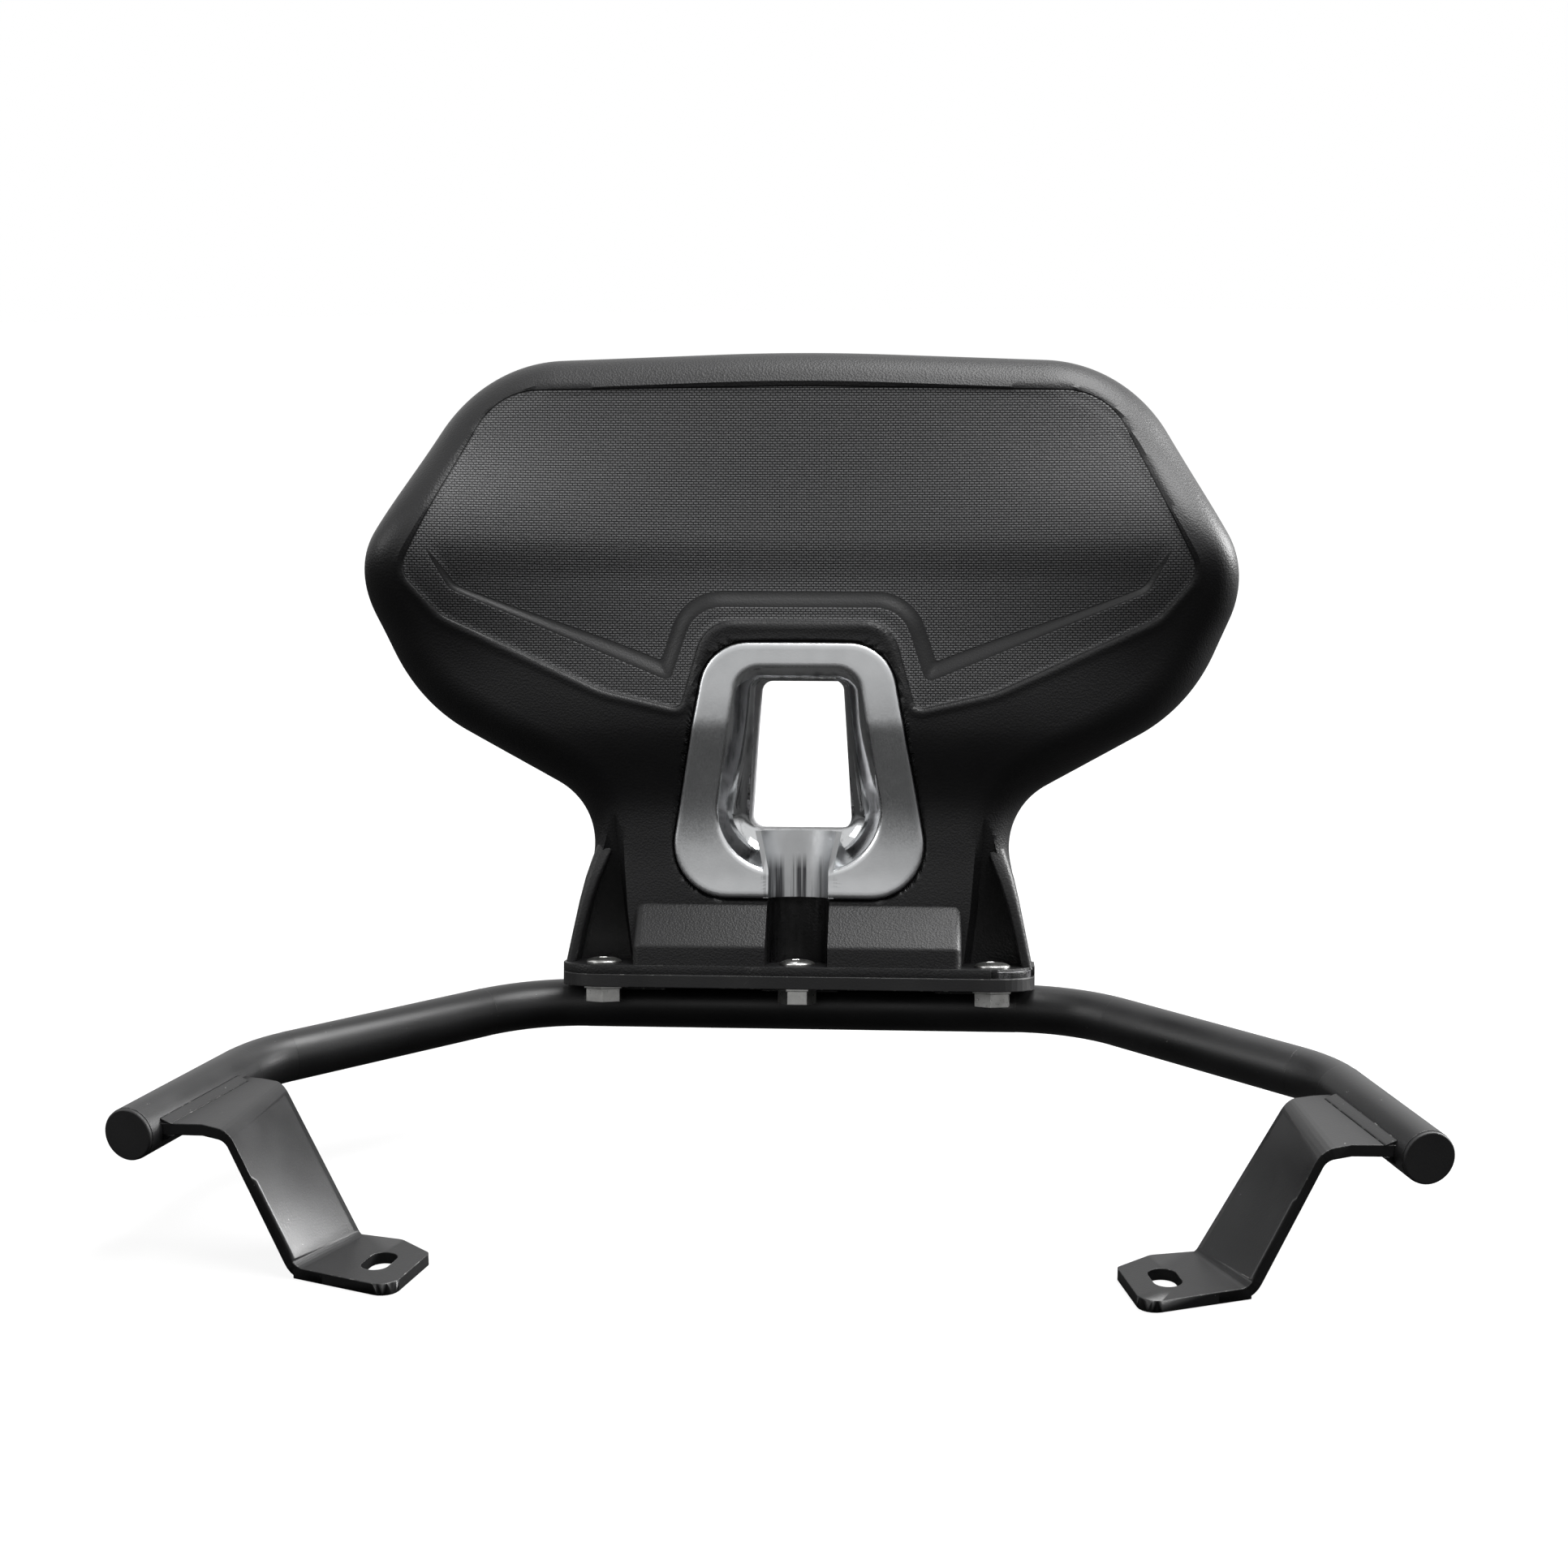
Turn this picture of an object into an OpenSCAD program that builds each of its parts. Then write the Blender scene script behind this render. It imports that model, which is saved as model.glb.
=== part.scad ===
// Passenger backrest: a bent tube with two bolt-on feet carries a moulded back pad.
// The origin is midway between the two foot slots, level with the undersides of the feet.
// X runs to the right, Y towards the back of the vehicle, Z up.

/* [Tube] */
// Outside diameter of the bent tube
tube_d = 19; // [16:0.5:22]
// Wall of the bent tube
tube_wall = 2; // [1.2:0.1:3]
// Distance from the slot line back to the middle run of the tube
tube_y = 169; // [150:1:200]
// Height of the tube axis above the undersides of the feet
tube_z = 47.5; // [40:0.5:60]
// Half distance between the corners of the two inner bends
inner_bend_x = 107.7; // [100:0.5:125]
// Radius of the inner bends, on the tube axis
inner_bend_r = 60; // [40:1:75]
// Half distance between the corners of the two outer bends
outer_bend_x = 197.9; // [185:0.5:210]
// How far the outer bends lie in front of the middle run
outer_bend_run = 84.2; // [75:0.5:95]
// Radius of the outer bends, on the tube axis
outer_bend_r = 50; // [30:1:60]
// Half distance between the tube ends
tube_end_x = 222.8; // [215:0.5:235]
// How far the tube ends lie in front of the middle run
tube_end_run = 164.5; // [155:0.5:175]
// Thickness of the closing disc on each tube end
cap_t = 1.5; // [1:0.1:3]
// Length of the plug behind each closing disc
cap_plug = 7; // [4:0.5:12]

/* [Feet] */
// Distance between the centres of the two foot slots
slot_pitch = 271; // [264:1:278]
// Thickness of the flat bar of the brackets
bar_t = 4.2; // [3:0.1:5]
// Width of the slots
slot_w = 10; // [8:0.5:11]
// Length of the slots, end to end
slot_l = 16.5; // [14:0.5:19]
// Height of the top of the bracket flange above the tube axis
flange_rise = 3; // [2:0.5:4]
// Bend radius of the brackets, on the middle of the bar
bar_bend_r = 7; // [5:0.5:9]
// Turn of the slot and of the foot's end away from the driving direction
foot_turn = 13; // [5:1:18]

/* [Base plate] */
// Half length of the base plate
plate_half = 92.4; // [90:0.2:95]
// Thickness of the base plate
plate_t = 5; // [4:0.1:6]
// How far the base plate reaches in front of the tube axis, along the plate
plate_front = 33.5; // [32:0.5:36]
// How far the base plate reaches behind the tube axis, along the plate
plate_back = 11; // [10:0.5:14]
// Tilt of the base plate and of all that stands on it, front edge up, in degrees
plate_tilt = 11; // [8:0.5:14]
// Distance from the side screws to the ends of the plate
screw_end = 16.5; // [14:0.1:18]
// How far the screws lie in front of the tube axis, along the plate
screw_front = 21.7; // [21:0.1:23]
// Diameter of the screw holes
screw_hole_d = 8.6; // [8.4:0.1:9]

/* [Screws] */
// Shank diameter of the screws
screw_d = 8; // [7.8:0.1:8]
// Diameter of the button heads
head_d = 14; // [13:0.2:15]
// Height of the button heads
head_h = 4.4; // [3.5:0.1:5]
// Width across flats of the sockets
socket_af = 5; // [4:0.5:6]
// Width across flats of the nuts
nut_af = 13; // [12:0.5:14]
// Height of the nuts with their skirt
nut_h = 6.5; // [5.5:0.1:8]
// Height of the skirt on the nuts
skirt_h = 1.2; // [0.8:0.1:2]
// How much wider the skirt is than the nut, on the flats
skirt_extra = 1.6; // [1:0.1:2]

/* [Pad] */
// Thickness of the pad at its rim
rim_t = 36; // [32:1:42]
// Width of the rolled rim, seen from the front
rim_roll = 17; // [12:1:20]
// How far the widest part of the pad comes forward
wing_forward = 22; // [14:1:26]
// Height of the foot flange of the pad
foot_flange_t = 3.5; // [3.2:0.1:5]
// Width of the driver channel below the window
channel_w = 24.4; // [22:0.2:25]

/* [Bezel] */
// Wall of the bezel
bezel_t = 2; // [1.5:0.1:2.5]
// Height of the rim of the bezel
bezel_rim = 4.5; // [4:0.1:6]
// Gap between the bezel and the foam
bezel_gap = 0.4; // [0.3:0.1:0.8]
// Wall of the tunnel liner
liner_t = 1.8; // [1.2:0.1:2.5]

/* [Armature] */
// Thickness of the steel foot plate inside the flange
foot_plate_t = 2.5; // [2:0.1:2.8]
// Thickness of the upright steel plate inside the pad
upright_t = 3; // [2:0.1:4]
// How far the middle of the upright plate lies in front of the tube axis
upright_front = 4.5; // [4:0.1:5.5]

/* [Hidden] */
$fn = 64;
cut = 1;
big = 400;

tube_r = tube_d / 2;
run_1 = [outer_bend_x - inner_bend_x, -outer_bend_run];
run_2 = [tube_end_x - outer_bend_x, outer_bend_run - tube_end_run];
angle_1 = atan2(run_1.y, run_1.x);
angle_2 = atan2(run_2.y, run_2.x);
set_1 = inner_bend_r * tan(-angle_1 / 2);
set_2 = outer_bend_r * tan((angle_1 - angle_2) / 2);
corner_1 = [inner_bend_x, tube_y];
corner_2 = [outer_bend_x, tube_y - outer_bend_run];
tube_end = [tube_end_x, tube_y - tube_end_run];

// Heights above the tube axis, square to the base plate
plate_z = tube_r;
flange_z = plate_z + plate_t;
flange_top = flange_z + foot_flange_t;
screw_y = -screw_front;
slot_x = slot_pitch / 2;
bar_top = tube_z + flange_rise;
bend_n = 5;
bend_step = 0.1;
bend_lap = 1;
weld_leg = 4;
weld_run = 30;
screw_pitch = plate_half - screw_end;
plate_corner_r = 16.5;
flange_skin = 1.5;
roll_n = 5;
field_n = 8;
ledge_gap = 4.9;
ledge_half = screw_pitch - head_d / 2 - ledge_gap;
rib_t = 4.5;
rib_x = plate_half - 1 - rib_t;
rib_lean = 0.205;
niche_h = 46;
trough_y = -20.8;
dome_r = 8;
socket_depth = 2.6;
shank_l = foot_flange_t + plate_t + nut_h + 1;

function dir(a) = [cos(a), sin(a)];
function right_of(a) = [sin(a), -cos(a)];
function flip(points) = [for (p = points) [-p.x, p.y]];
function reverse(list) = [for (i = [len(list) - 1:-1:0]) list[i]];

// A closed outline through points, each corner rounded with its own radius.
// arc_n pieces make each corner and side_n pieces make each straight side.
function rounded(points, radii, arc_n = 8, side_n = 1) =
    let (n = len(points))
    [for (i = [0:n - 1])
        let (
            p = points[i],
            a = points[(i + n - 1) % n] - p,
            b = points[(i + 1) % n] - p,
            ua = a / norm(a),
            ub = b / norm(b),
            half = acos(ua * ub) / 2,
            s = radii[i] / tan(half),
            mid = (ua + ub) / norm(ua + ub),
            c = p + mid * radii[i] / sin(half),
            from = p + ua * s,
            to = p + ub * s,
            a0 = atan2(from.y - c.y, from.x - c.x),
            a1 = atan2(to.y - c.y, to.x - c.x),
            turn = (a1 - a0 + 540) % 360 - 180,
            q = points[(i + 1) % n],
            qa = -ub,
            qb = (points[(i + 2) % n] - q) / norm(points[(i + 2) % n] - q),
            q_half = acos(qa * qb) / 2,
            next = q + qa * radii[(i + 1) % n] / tan(q_half)
        )
        each concat(
            [for (k = [0:arc_n]) c + radii[i] * dir(a0 + turn * k / arc_n)],
            side_n < 2 ? [] : [for (k = [1:side_n - 1]) to + (next - to) * k / side_n]
        )
    ];

// A smooth curve through the (position, value) pairs of a table.
function slope_at(t, i) =
    let (a = max(i - 1, 0), b = min(i + 1, len(t) - 1))
    (t[b][1] - t[a][1]) / (t[b][0] - t[a][0]);
function span_of(t, v, i = 0) = i >= len(t) - 2 || v < t[i + 1][0] ? i : span_of(t, v, i + 1);
function curve(t, v) =
    v <= t[0][0] ? t[0][1] :
    v >= t[len(t) - 1][0] ? t[len(t) - 1][1] + (v - t[len(t) - 1][0]) * slope_at(t, len(t) - 1) :
    let (
        i = span_of(t, v),
        h = t[i + 1][0] - t[i][0],
        u = (v - t[i][0]) / h
    )
    t[i][1] * (1 + 2 * u) * (1 - u) ^ 2 + t[i + 1][1] * u * u * (3 - 2 * u)
        + h * slope_at(t, i) * u * (1 - u) ^ 2 + h * slope_at(t, i + 1) * u * u * (u - 1);

function sum(list, i = 0) = i == len(list) - 1 ? list[i] : list[i] + sum(list, i + 1);
function centre_of(ring) = sum(ring) / len(ring);

// A closed skin over rings with equal numbers of points; both ends are capped or joined.
module skin(rings, loop = false) {
    n = len(rings[0]);
    m = len(rings);
    walls = [for (j = [0:m - (loop ? 1 : 2)], i = [0:n - 1])
        let (a = j * n + i, b = j * n + (i + 1) % n,
            c = ((j + 1) % m) * n + (i + 1) % n, d = ((j + 1) % m) * n + i)
        each [[a, c, b], [a, d, c]]];
    middles = loop ? [] : [for (r = [rings[0], rings[m - 1]]) centre_of(r)];
    ends = loop ? [] : [for (i = [0:n - 1])
        let (k = (i + 1) % n, last = (m - 1) * n)
        each [[m * n, i, k], [m * n + 1, last + k, last + i]]];
    polyhedron(points = concat([for (r = rings) each r], middles), faces = concat(walls, ends));
}

// Tube

module rod_bend(corner, from, to, radius, d) {
    centre = corner - radius * tan((from - to) / 2) * dir(from) + radius * right_of(from);
    translate([centre.x, centre.y, tube_z])
        rotate(to + 90)
            rotate_extrude(angle = from - to)
                translate([radius, 0])
                    circle(d = d - bend_step);
}

// A straight run laps a little into the bends, which are thinner by a hair
module rod_straight(from, to, d) {
    run = to - from;
    translate([from.x, from.y, tube_z])
        rotate(atan2(run.y, run.x))
            translate([-bend_lap, 0, 0])
                rotate([0, 90, 0])
                    cylinder(d = d, h = norm(run) + 2 * bend_lap);
}

module rod_half(d, past) {
    rod_bend(corner_1, 0, angle_1, inner_bend_r, d);
    rod_straight(corner_1 + set_1 * dir(angle_1), corner_2 - set_2 * dir(angle_1), d);
    rod_bend(corner_2, angle_1, angle_2, outer_bend_r, d);
    rod_straight(corner_2 + set_2 * dir(angle_2), tube_end + (past - bend_lap) * dir(angle_2), d);
}

module rod(d, past = 0) {
    rod_straight([set_1 - inner_bend_x, tube_y], [inner_bend_x - set_1, tube_y], d);
    rod_half(d, past);
    mirror([1, 0, 0])
        rod_half(d, past);
}

module tube() {
    color("#1b1b1c")
        difference() {
            rod(tube_d);
            rod(tube_d - 2 * tube_wall, cut);
        }
}

module end_cap() {
    plug_r = tube_r - tube_wall - 0.1;
    translate([tube_end.x, tube_end.y, tube_z])
        rotate(angle_2)
            rotate([0, 90, 0])
                rotate_extrude()
                    polygon([[0, -cap_plug], [plug_r - 1, -cap_plug], [plug_r, 1 - cap_plug],
                        [plug_r, 0], [tube_r - 0.2, 0], [tube_r - 0.2, cap_t - 0.4],
                        [tube_r - 0.6, cap_t], [0, cap_t]]);
}

module end_cap_right() {
    color("#2a2a2b")
        end_cap();
}

module end_cap_left() {
    color("#2a2a2b")
        mirror([1, 0, 0])
            end_cap();
}

// Brackets, modelled on the right side

// Corners of the foot round its slot: fold front, toe front, toe rear, chamfer end, fold rear
foot_points = [for (p = [[28.8, -7], [-8.5, -23], [-16, 8.5], [-4, 20.5], [12.7, 25]])
    [slot_x + p.x, p.y]];
fold_front = foot_points[0];
fold_rear = foot_points[4];
// Upper fold of the bar, measured from the tube end
lip_front = tube_end + [-34.6, -2.1];
lip_rear = tube_end + [-41.7, 48.9];
// Places on the front and rear edges of the flange, the outer ones inside the tube
edge_front = [tube_end + [-1.5, 3.2], tube_end + [-25, 2.6]];
edge_rear = [tube_end + [-17, 57.5], tube_end + [-33, 53.8]];

// Middle line of the bent bar along one edge, from the flange to the foot, with its slope
function edge_path(flange, lip, fold, toe) =
    let (
        top = bar_top - bar_t / 2,
        low = bar_t / 2,
        run = norm(fold - lip),
        way = (fold - lip) / run,
        tilt = atan2(top - low, run),
        s = bar_bend_r * tan(tilt / 2)
    )
    concat(
        [for (p = flange) [p.x, p.y, top, 0]],
        [for (k = [0:bend_n])
            let (a = tilt * k / bend_n, p = lip + way * (bar_bend_r * sin(a) - s))
            [p.x, p.y, top - bar_bend_r * (1 - cos(a)), a]],
        [for (k = [0:bend_n])
            let (a = tilt * (1 - k / bend_n), p = fold + way * (s - bar_bend_r * sin(a)))
            [p.x, p.y, low + bar_bend_r * (1 - cos(a)), a]],
        [[toe.x, toe.y, low, 0]]
    );

// One face of the bent bar: the middle line moved by side along its normal
function bar_face(path, way, side) = [for (p = path)
    [p.x + way.x * sin(p[3]) * side, p.y + way.y * sin(p[3]) * side, p.z + cos(p[3]) * side]];

module bent_bar() {
    front = edge_path(edge_front, lip_front, fold_front,
        fold_front + (foot_points[1] - fold_front) * 0.3);
    rear = edge_path(edge_rear, lip_rear, fold_rear,
        fold_rear + (foot_points[3] - fold_rear) * 0.6);
    way = fold_front + fold_rear - lip_front - lip_rear;
    u = way / norm(way);
    faces = [bar_face(front, u, bar_t / 2), bar_face(rear, u, bar_t / 2),
        bar_face(rear, u, -bar_t / 2), bar_face(front, u, -bar_t / 2)];
    skin([for (i = [0:len(front) - 1]) [for (f = faces) f[i]]]);
}

module slot_cut() {
    reach = (slot_l - slot_w) / 2;
    translate([slot_x, 0, -cut])
        rotate(foot_turn) {
            for (side = [-1, 1])
                translate([0, side * reach])
                    cylinder(d = slot_w, h = bar_t + 2 * cut);
            translate([-slot_w / 2, -reach, 0])
                cube([slot_w, 2 * reach, bar_t + 2 * cut]);
        }
}

// The tube's end section as a solid, for the cuts that fit it
module end_section(grow = 0, past = 20) {
    rod_straight(corner_2 + set_2 * 0.6 * dir(angle_2), tube_end + past * dir(angle_2),
        tube_d + grow);
}

module bracket() {
    difference() {
        union() {
            bent_bar();
            linear_extrude(bar_t)
                polygon(rounded(foot_points, [0.1, 6, 2.5, 5, 0.1], 6));
        }
        slot_cut();
        end_section();
    }
}

module bracket_right() {
    color("#202021")
        bracket();
}

module bracket_left() {
    color("#202021")
        mirror([1, 0, 0])
            bracket();
}

// Weld runs in the corners between the tube's end section and the flange
module weld_bracket() {
    under = bar_top - bar_t - tube_z;
    start = (edge_front[0] - tube_end) * -dir(angle_2);
    length = norm(edge_rear[0] - edge_front[0]) - 6;
    translate([tube_end.x, tube_end.y, tube_z])
        rotate(angle_2 + 180)
            translate([start + 3, 0, 0])
                rotate([90, 0, 90])
                    linear_extrude(length)
                        for (bead = [[under, -weld_leg], [flange_rise, 0.55 * weld_leg]])
                            difference() {
                                polygon([[tube_r - 4, bead[0]],
                                    [sqrt(tube_r ^ 2 - bead[0] ^ 2) + weld_leg, bead[0]],
                                    [sqrt(tube_r ^ 2 - bead[0] ^ 2) + 0.4 * weld_leg,
                                        bead[0] + 0.4 * bead[1]],
                                    [tube_r - 3, bead[0] + bead[1]], [tube_r - 4, bead[0] + bead[1]]]);
                                circle(r = tube_r);
                            }
}

module weld_bracket_right() {
    color("#171717")
        weld_bracket();
}

module weld_bracket_left() {
    color("#171717")
        mirror([1, 0, 0])
            weld_bracket();
}

// Everything below is drawn in the frame of the base plate: the tube axis is its X axis and
// its Z axis stands square to the plate

module on_tube() {
    translate([0, tube_y, tube_z])
        rotate([-plate_tilt, 0, 0])
            children();
}

// Base plate and its welds

module place_screws() {
    for (i = [-1:1])
        at_screw(i)
            children();
}

module at_screw(i) {
    translate([i * screw_pitch, screw_y, 0])
        children();
}

plate_points = [[-plate_half, -plate_front], [plate_half, -plate_front],
    [plate_half, plate_back], [-plate_half, plate_back]];
plate_radii = [plate_corner_r, plate_corner_r, 6, 6];
// The foot flange of the pad swells out round each screw
flange_dip = 2.5;
flange_front = [for (p = [[-60, 0], [-52, flange_dip], [-20, flange_dip], [-13, 0], [13, 0],
    [20, flange_dip], [52, flange_dip], [60, 0]]) [p.x, p.y - plate_front]];
flange_points = concat([plate_points[0]], flange_front, [for (i = [1:3]) plate_points[i]]);
flange_radii = concat([plate_corner_r], [for (p = flange_front) 6], [plate_corner_r, 6, 6]);

module base_plate() {
    color("#1d1d1e")
        on_tube()
            translate([0, 0, plate_z])
                difference() {
                    linear_extrude(plate_t)
                        polygon(rounded(plate_points, plate_radii, 10));
                    place_screws()
                        translate([0, 0, -cut])
                            cylinder(d = screw_hole_d, h = plate_t + 2 * cut);
                }
}

module weld_plate(side) {
    reach = 0.72 * tube_r;
    bead = [[3, -1.5], [3, 0], [reach, 0], [reach - 0.6, -1.6], [reach + 0.5, -3.4], [3, -3.4]];
    for (x = [-1:1])
        translate([x * screw_pitch * 0.9 - weld_run / 2, 0, 0])
            rotate([90, 0, 90])
                linear_extrude(weld_run)
                    difference() {
                        polygon([for (p = bead) [side * p.x, tube_r + p.y]]);
                        circle(r = tube_r);
                    }
}

module weld_plate_front() {
    color("#171717")
        on_tube()
            weld_plate(-1);
}

module weld_plate_rear() {
    color("#171717")
        on_tube()
            weld_plate(1);
}

// Steel inside the pad

module foot_plate_solid() {
    translate([0, 0, flange_z])
        linear_extrude(foot_plate_t)
            polygon(inset_ring(flange_points, flange_radii, flange_skin, 8, 1));
}

module foot_plate() {
    color("#4a4c50")
        on_tube()
            difference() {
                foot_plate_solid();
                screw_holes();
            }
}

// Outline of the upright plate in its own plane, from the foot plate up
upright_half = [[18, 0], [56, 0], [52, 58], [84, 112], [84, 168], [62, 204]];
upright_radii = [0.1, 0.1, 18, 22, 24, 18];
upright_window = [[27, 126], [28, 40]];

module upright_solid() {
    translate([0, upright_t / 2 - upright_front, flange_z + foot_plate_t])
        rotate([90, 0, 0])
            linear_extrude(upright_t)
                polygon(rounded(
                    concat(upright_half, reverse(flip(upright_half)), flip(reverse(upright_window)),
                        upright_window),
                    concat(upright_radii, reverse(upright_radii), [14, 12, 12, 14]), 6));
}

module upright() {
    color("#4a4c50")
        on_tube()
            upright_solid();
}

module weld_upright_solid() {
    for (side = [-1, 1])
        translate([side * 37 - weld_run / 2, upright_t / 2 - upright_front, flange_z + foot_plate_t])
            rotate([90, 0, 90])
                linear_extrude(weld_run)
                    polygon([[0, 0], [3, 0], [0, 3]]);
}

module weld_upright() {
    color("#6a6a6a")
        on_tube()
            weld_upright_solid();
}

// Pad

// Front face of the pad along its middle, from below the flange to the top edge, and the
// thickness of the pad at its rim and in its middle; heights are above the flange
face_table = [[-30, -19], [0, -19], [24, -19.2], [47, -18.8], [64, -20], [93, -30.7],
    [131, -31], [182, -30], [223, -30.6], [245, -31]];
rim_table = [[-30, 26], [0, 26], [34, 27], [64, 30], [96, rim_t], [245, rim_t]];
core_table = [[-30, 30], [0, 30], [37, 28], [58, 32.5], [111, 52], [171, 47], [230, 37],
    [245, 34]];

function wing(x, h) = wing_forward * (x / 148) ^ 2 * exp(-((h - 167) / 38) ^ 2);
function face_y(x, z) = curve(face_table, z - flange_top) - wing(x, z - flange_top);
function rim_at(z) = curve(rim_table, z - flange_top);
function core_at(z) = curve(core_table, z - flange_top);
function rear_y(z) = face_y(0, z) + core_at(z);

// Corners of the pad seen from the front, right half, above the flange
pad_half = [[98.5, -38], [78.5, 60.5], [151.6, 101.6], [172.1, 151.7], [126.1, 234.8]];
pad_half_radii = [30, 28, 65, 38, 56];
pad_points = [for (p = concat(pad_half, [[0, 239.5]], reverse(flip(pad_half))))
    [p.x, p.y + flange_top]];
pad_radii = concat(pad_half_radii, [900], reverse(pad_half_radii));

function left_of(v) = [-v.y, v.x] / norm(v);
function cross_z(a, b) = a.x * b.y - a.y * b.x;
// An outline whose corners are moved inwards by d, with radii to suit
function inset_points(points, d) =
    let (n = len(points))
    [for (i = [0:n - 1])
        let (
            na = left_of(points[i] - points[(i + n - 1) % n]),
            nb = left_of(points[(i + 1) % n] - points[i])
        )
        points[i] + d * (na + nb) / (1 + na * nb)];
function inset_radii(points, radii, d) =
    let (n = len(points))
    [for (i = [0:n - 1])
        let (
            a = points[i] - points[(i + n - 1) % n],
            b = points[(i + 1) % n] - points[i]
        )
        cross_z(a, b) > 0 ? max(radii[i] - d, 0.2) : radii[i] + d];
function inset_ring(points, radii, d, arc_n, side_n) =
    rounded(inset_points(points, d), inset_radii(points, radii, d), arc_n, side_n);

module pad_body() {
    outer = function (d) inset_ring(pad_points, pad_radii, d, 6, 3);
    rolled = outer(rim_roll);
    middle = [0, flange_top + 82];
    rim = function (side, k)
        let (a = 90 * k / roll_n)
        [for (p = outer(rim_roll * (1 - cos(a))))
            [p.x, face_y(p.x, p.y) + rim_at(p.y) / 2 * (1 + side * sin(a)), p.y]];
    field = function (side, k)
        let (t = k / (field_n + 1), swell = t * t * (3 - 2 * t))
        [for (q = rolled)
            let (
                p = q + (middle - q) * t,
                at = k < field_n ? p : middle,
                thick = rim_at(at.y) + (core_at(at.y) - rim_at(at.y)) * swell
            )
            [p.x, face_y(at.x, at.y) + (side > 0 ? thick : 0), p.y]];
    skin(concat(
        [for (k = [field_n:-1:1]) field(1, k)],
        [for (k = [roll_n:-1:1]) rim(1, k)],
        [for (k = [0:roll_n]) rim(-1, k)],
        [for (k = [1:field_n]) field(-1, k)]));
}

// Raised ledges that flank the channel, behind the flange's front edge
module ledges() {
    profile = [[0, 0], [-30.5, 0], [-30.5, 7.5], [-19.3, 23.6], [0, 29]];
    translate([-ledge_half, 0, flange_top])
        rotate([90, 0, 90])
            linear_extrude(2 * ledge_half)
                polygon(rounded(profile, [0.1, 0.1, 2, 4, 1], 5));
}

// The outer wall of each niche, from the flange up into the neck
module niche_rib() {
    profile = [[-20, 0], [2, 0], [2, 50], [-6, 50]];
    at = function (p, x) [x - rib_lean * p.y, p.x, flange_top + p.y];
    skin([for (x = [rib_x, rib_x + rib_t]) [for (p = profile) at(p, x)]]);
}

// The niche round each side screw narrows upwards
module niche_cut() {
    side = rib_x + 0.5;
    front = [[ledge_half + 0.5, -cut], [side + rib_lean * cut, -cut],
        [side - rib_lean * niche_h, niche_h], [side - rib_lean * niche_h - 3, niche_h],
        [ledge_half + 0.5, 0]];
    skin([for (y = [-3, -45]) [for (p = front) [p.x, y, flange_top + p.y]]]);
}

module screw_holes() {
    place_screws()
        translate([0, 0, flange_z - cut])
            cylinder(d = screw_hole_d, h = foot_flange_t + 2 * cut);
}

module channel_cut() {
    translate([0, screw_y + 2, flange_top - cut])
        cylinder(d = channel_w, h = 40 + cut);
    translate([-channel_w / 2, screw_y - 40, flange_top - cut])
        cube([channel_w, 42, 40 + cut]);
}

// Bezel outlines seen from the front: rim, inner edge of the face, throat
bezel_base = flange_top + 25.8;
function trapezoid(low, high, bottom, top) =
    [for (p = [[-low, bottom], [low, bottom], [high, top], [-high, top]]) [p.x, p.y + bezel_base]];
rim_points = trapezoid(53, 35.4, 0, 99.9);
rim_radii = [21, 21, 19, 19];
edge_points = trapezoid(36.3, 23.2, 10.6, 89.8);
edge_radii = [24, 24, 10, 10];
throat_points = trapezoid(20.5, 17.1, 26.7, 85.3);
throat_radii = [5, 5, 4, 4];
back_points = trapezoid(20.7, 17.4, 26.7, 85.3);

bezel_table = [[0, -20.2], [10, -19.6], [26, -19.7], [38, -21.6], [63, -29.6], [69, -31],
    [100, -31]];
function bezel_y(z) = curve(bezel_table, z - bezel_base);
function throat_y(z) = -8.6 - 0.195 * (z - bezel_base - 26.7);
function frame_ring(points, radii, d) = inset_ring(points, radii, d, 6, 8);
function lay(ring, y) = [for (p = ring) [p.x, y(p.y), p.y]];
function mix(a, b, t) = [for (i = [0:len(a) - 1]) a[i] * (1 - t) + b[i] * t];

module bezel_shell() {
    outer = function (d) frame_ring(rim_points, rim_radii, d);
    edge = function (d) frame_ring(edge_points, edge_radii, d);
    throat = function (d) frame_ring(throat_points, throat_radii, d);
    at = function (rise) function (z) bezel_y(z) + rise;
    funnel = function (d, rise) [for (k = [0:4])
        let (t = k / 5, sink = 1 - (1 - t) ^ 2)
        [for (i = [0:len(edge(0)) - 1])
            let (a = edge(d)[i], b = throat(d)[i], p = a * (1 - t) + b * t)
            [p.x, (bezel_y(a.y) + rise) * (1 - sink) + throat_y(b.y) * sink, p.y]]];
    front = [lay(outer(0), at(bezel_rim)), lay(outer(0), at(1.4)), lay(outer(0.5), at(0.4)),
        lay(outer(1.5), at(0)), lay(edge(-1), at(0))];
    behind = [lay(edge(-bezel_t - 1.5), at(bezel_t)), lay(outer(bezel_t), at(bezel_t + 0.6)),
        lay(outer(bezel_t), at(bezel_rim))];
    throat_end = function (z) throat_y(z);
    skin(concat(front, funnel(0, 0.6), [lay(throat(0), throat_end)],
        [lay(throat(-bezel_t), throat_end)], reverse(funnel(-bezel_t, bezel_t)), behind),
        loop = true);
}

module trough(d, low, high) {
    translate([0, trough_y, bezel_base + low])
        cylinder(d = d, h = high - low);
}

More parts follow.
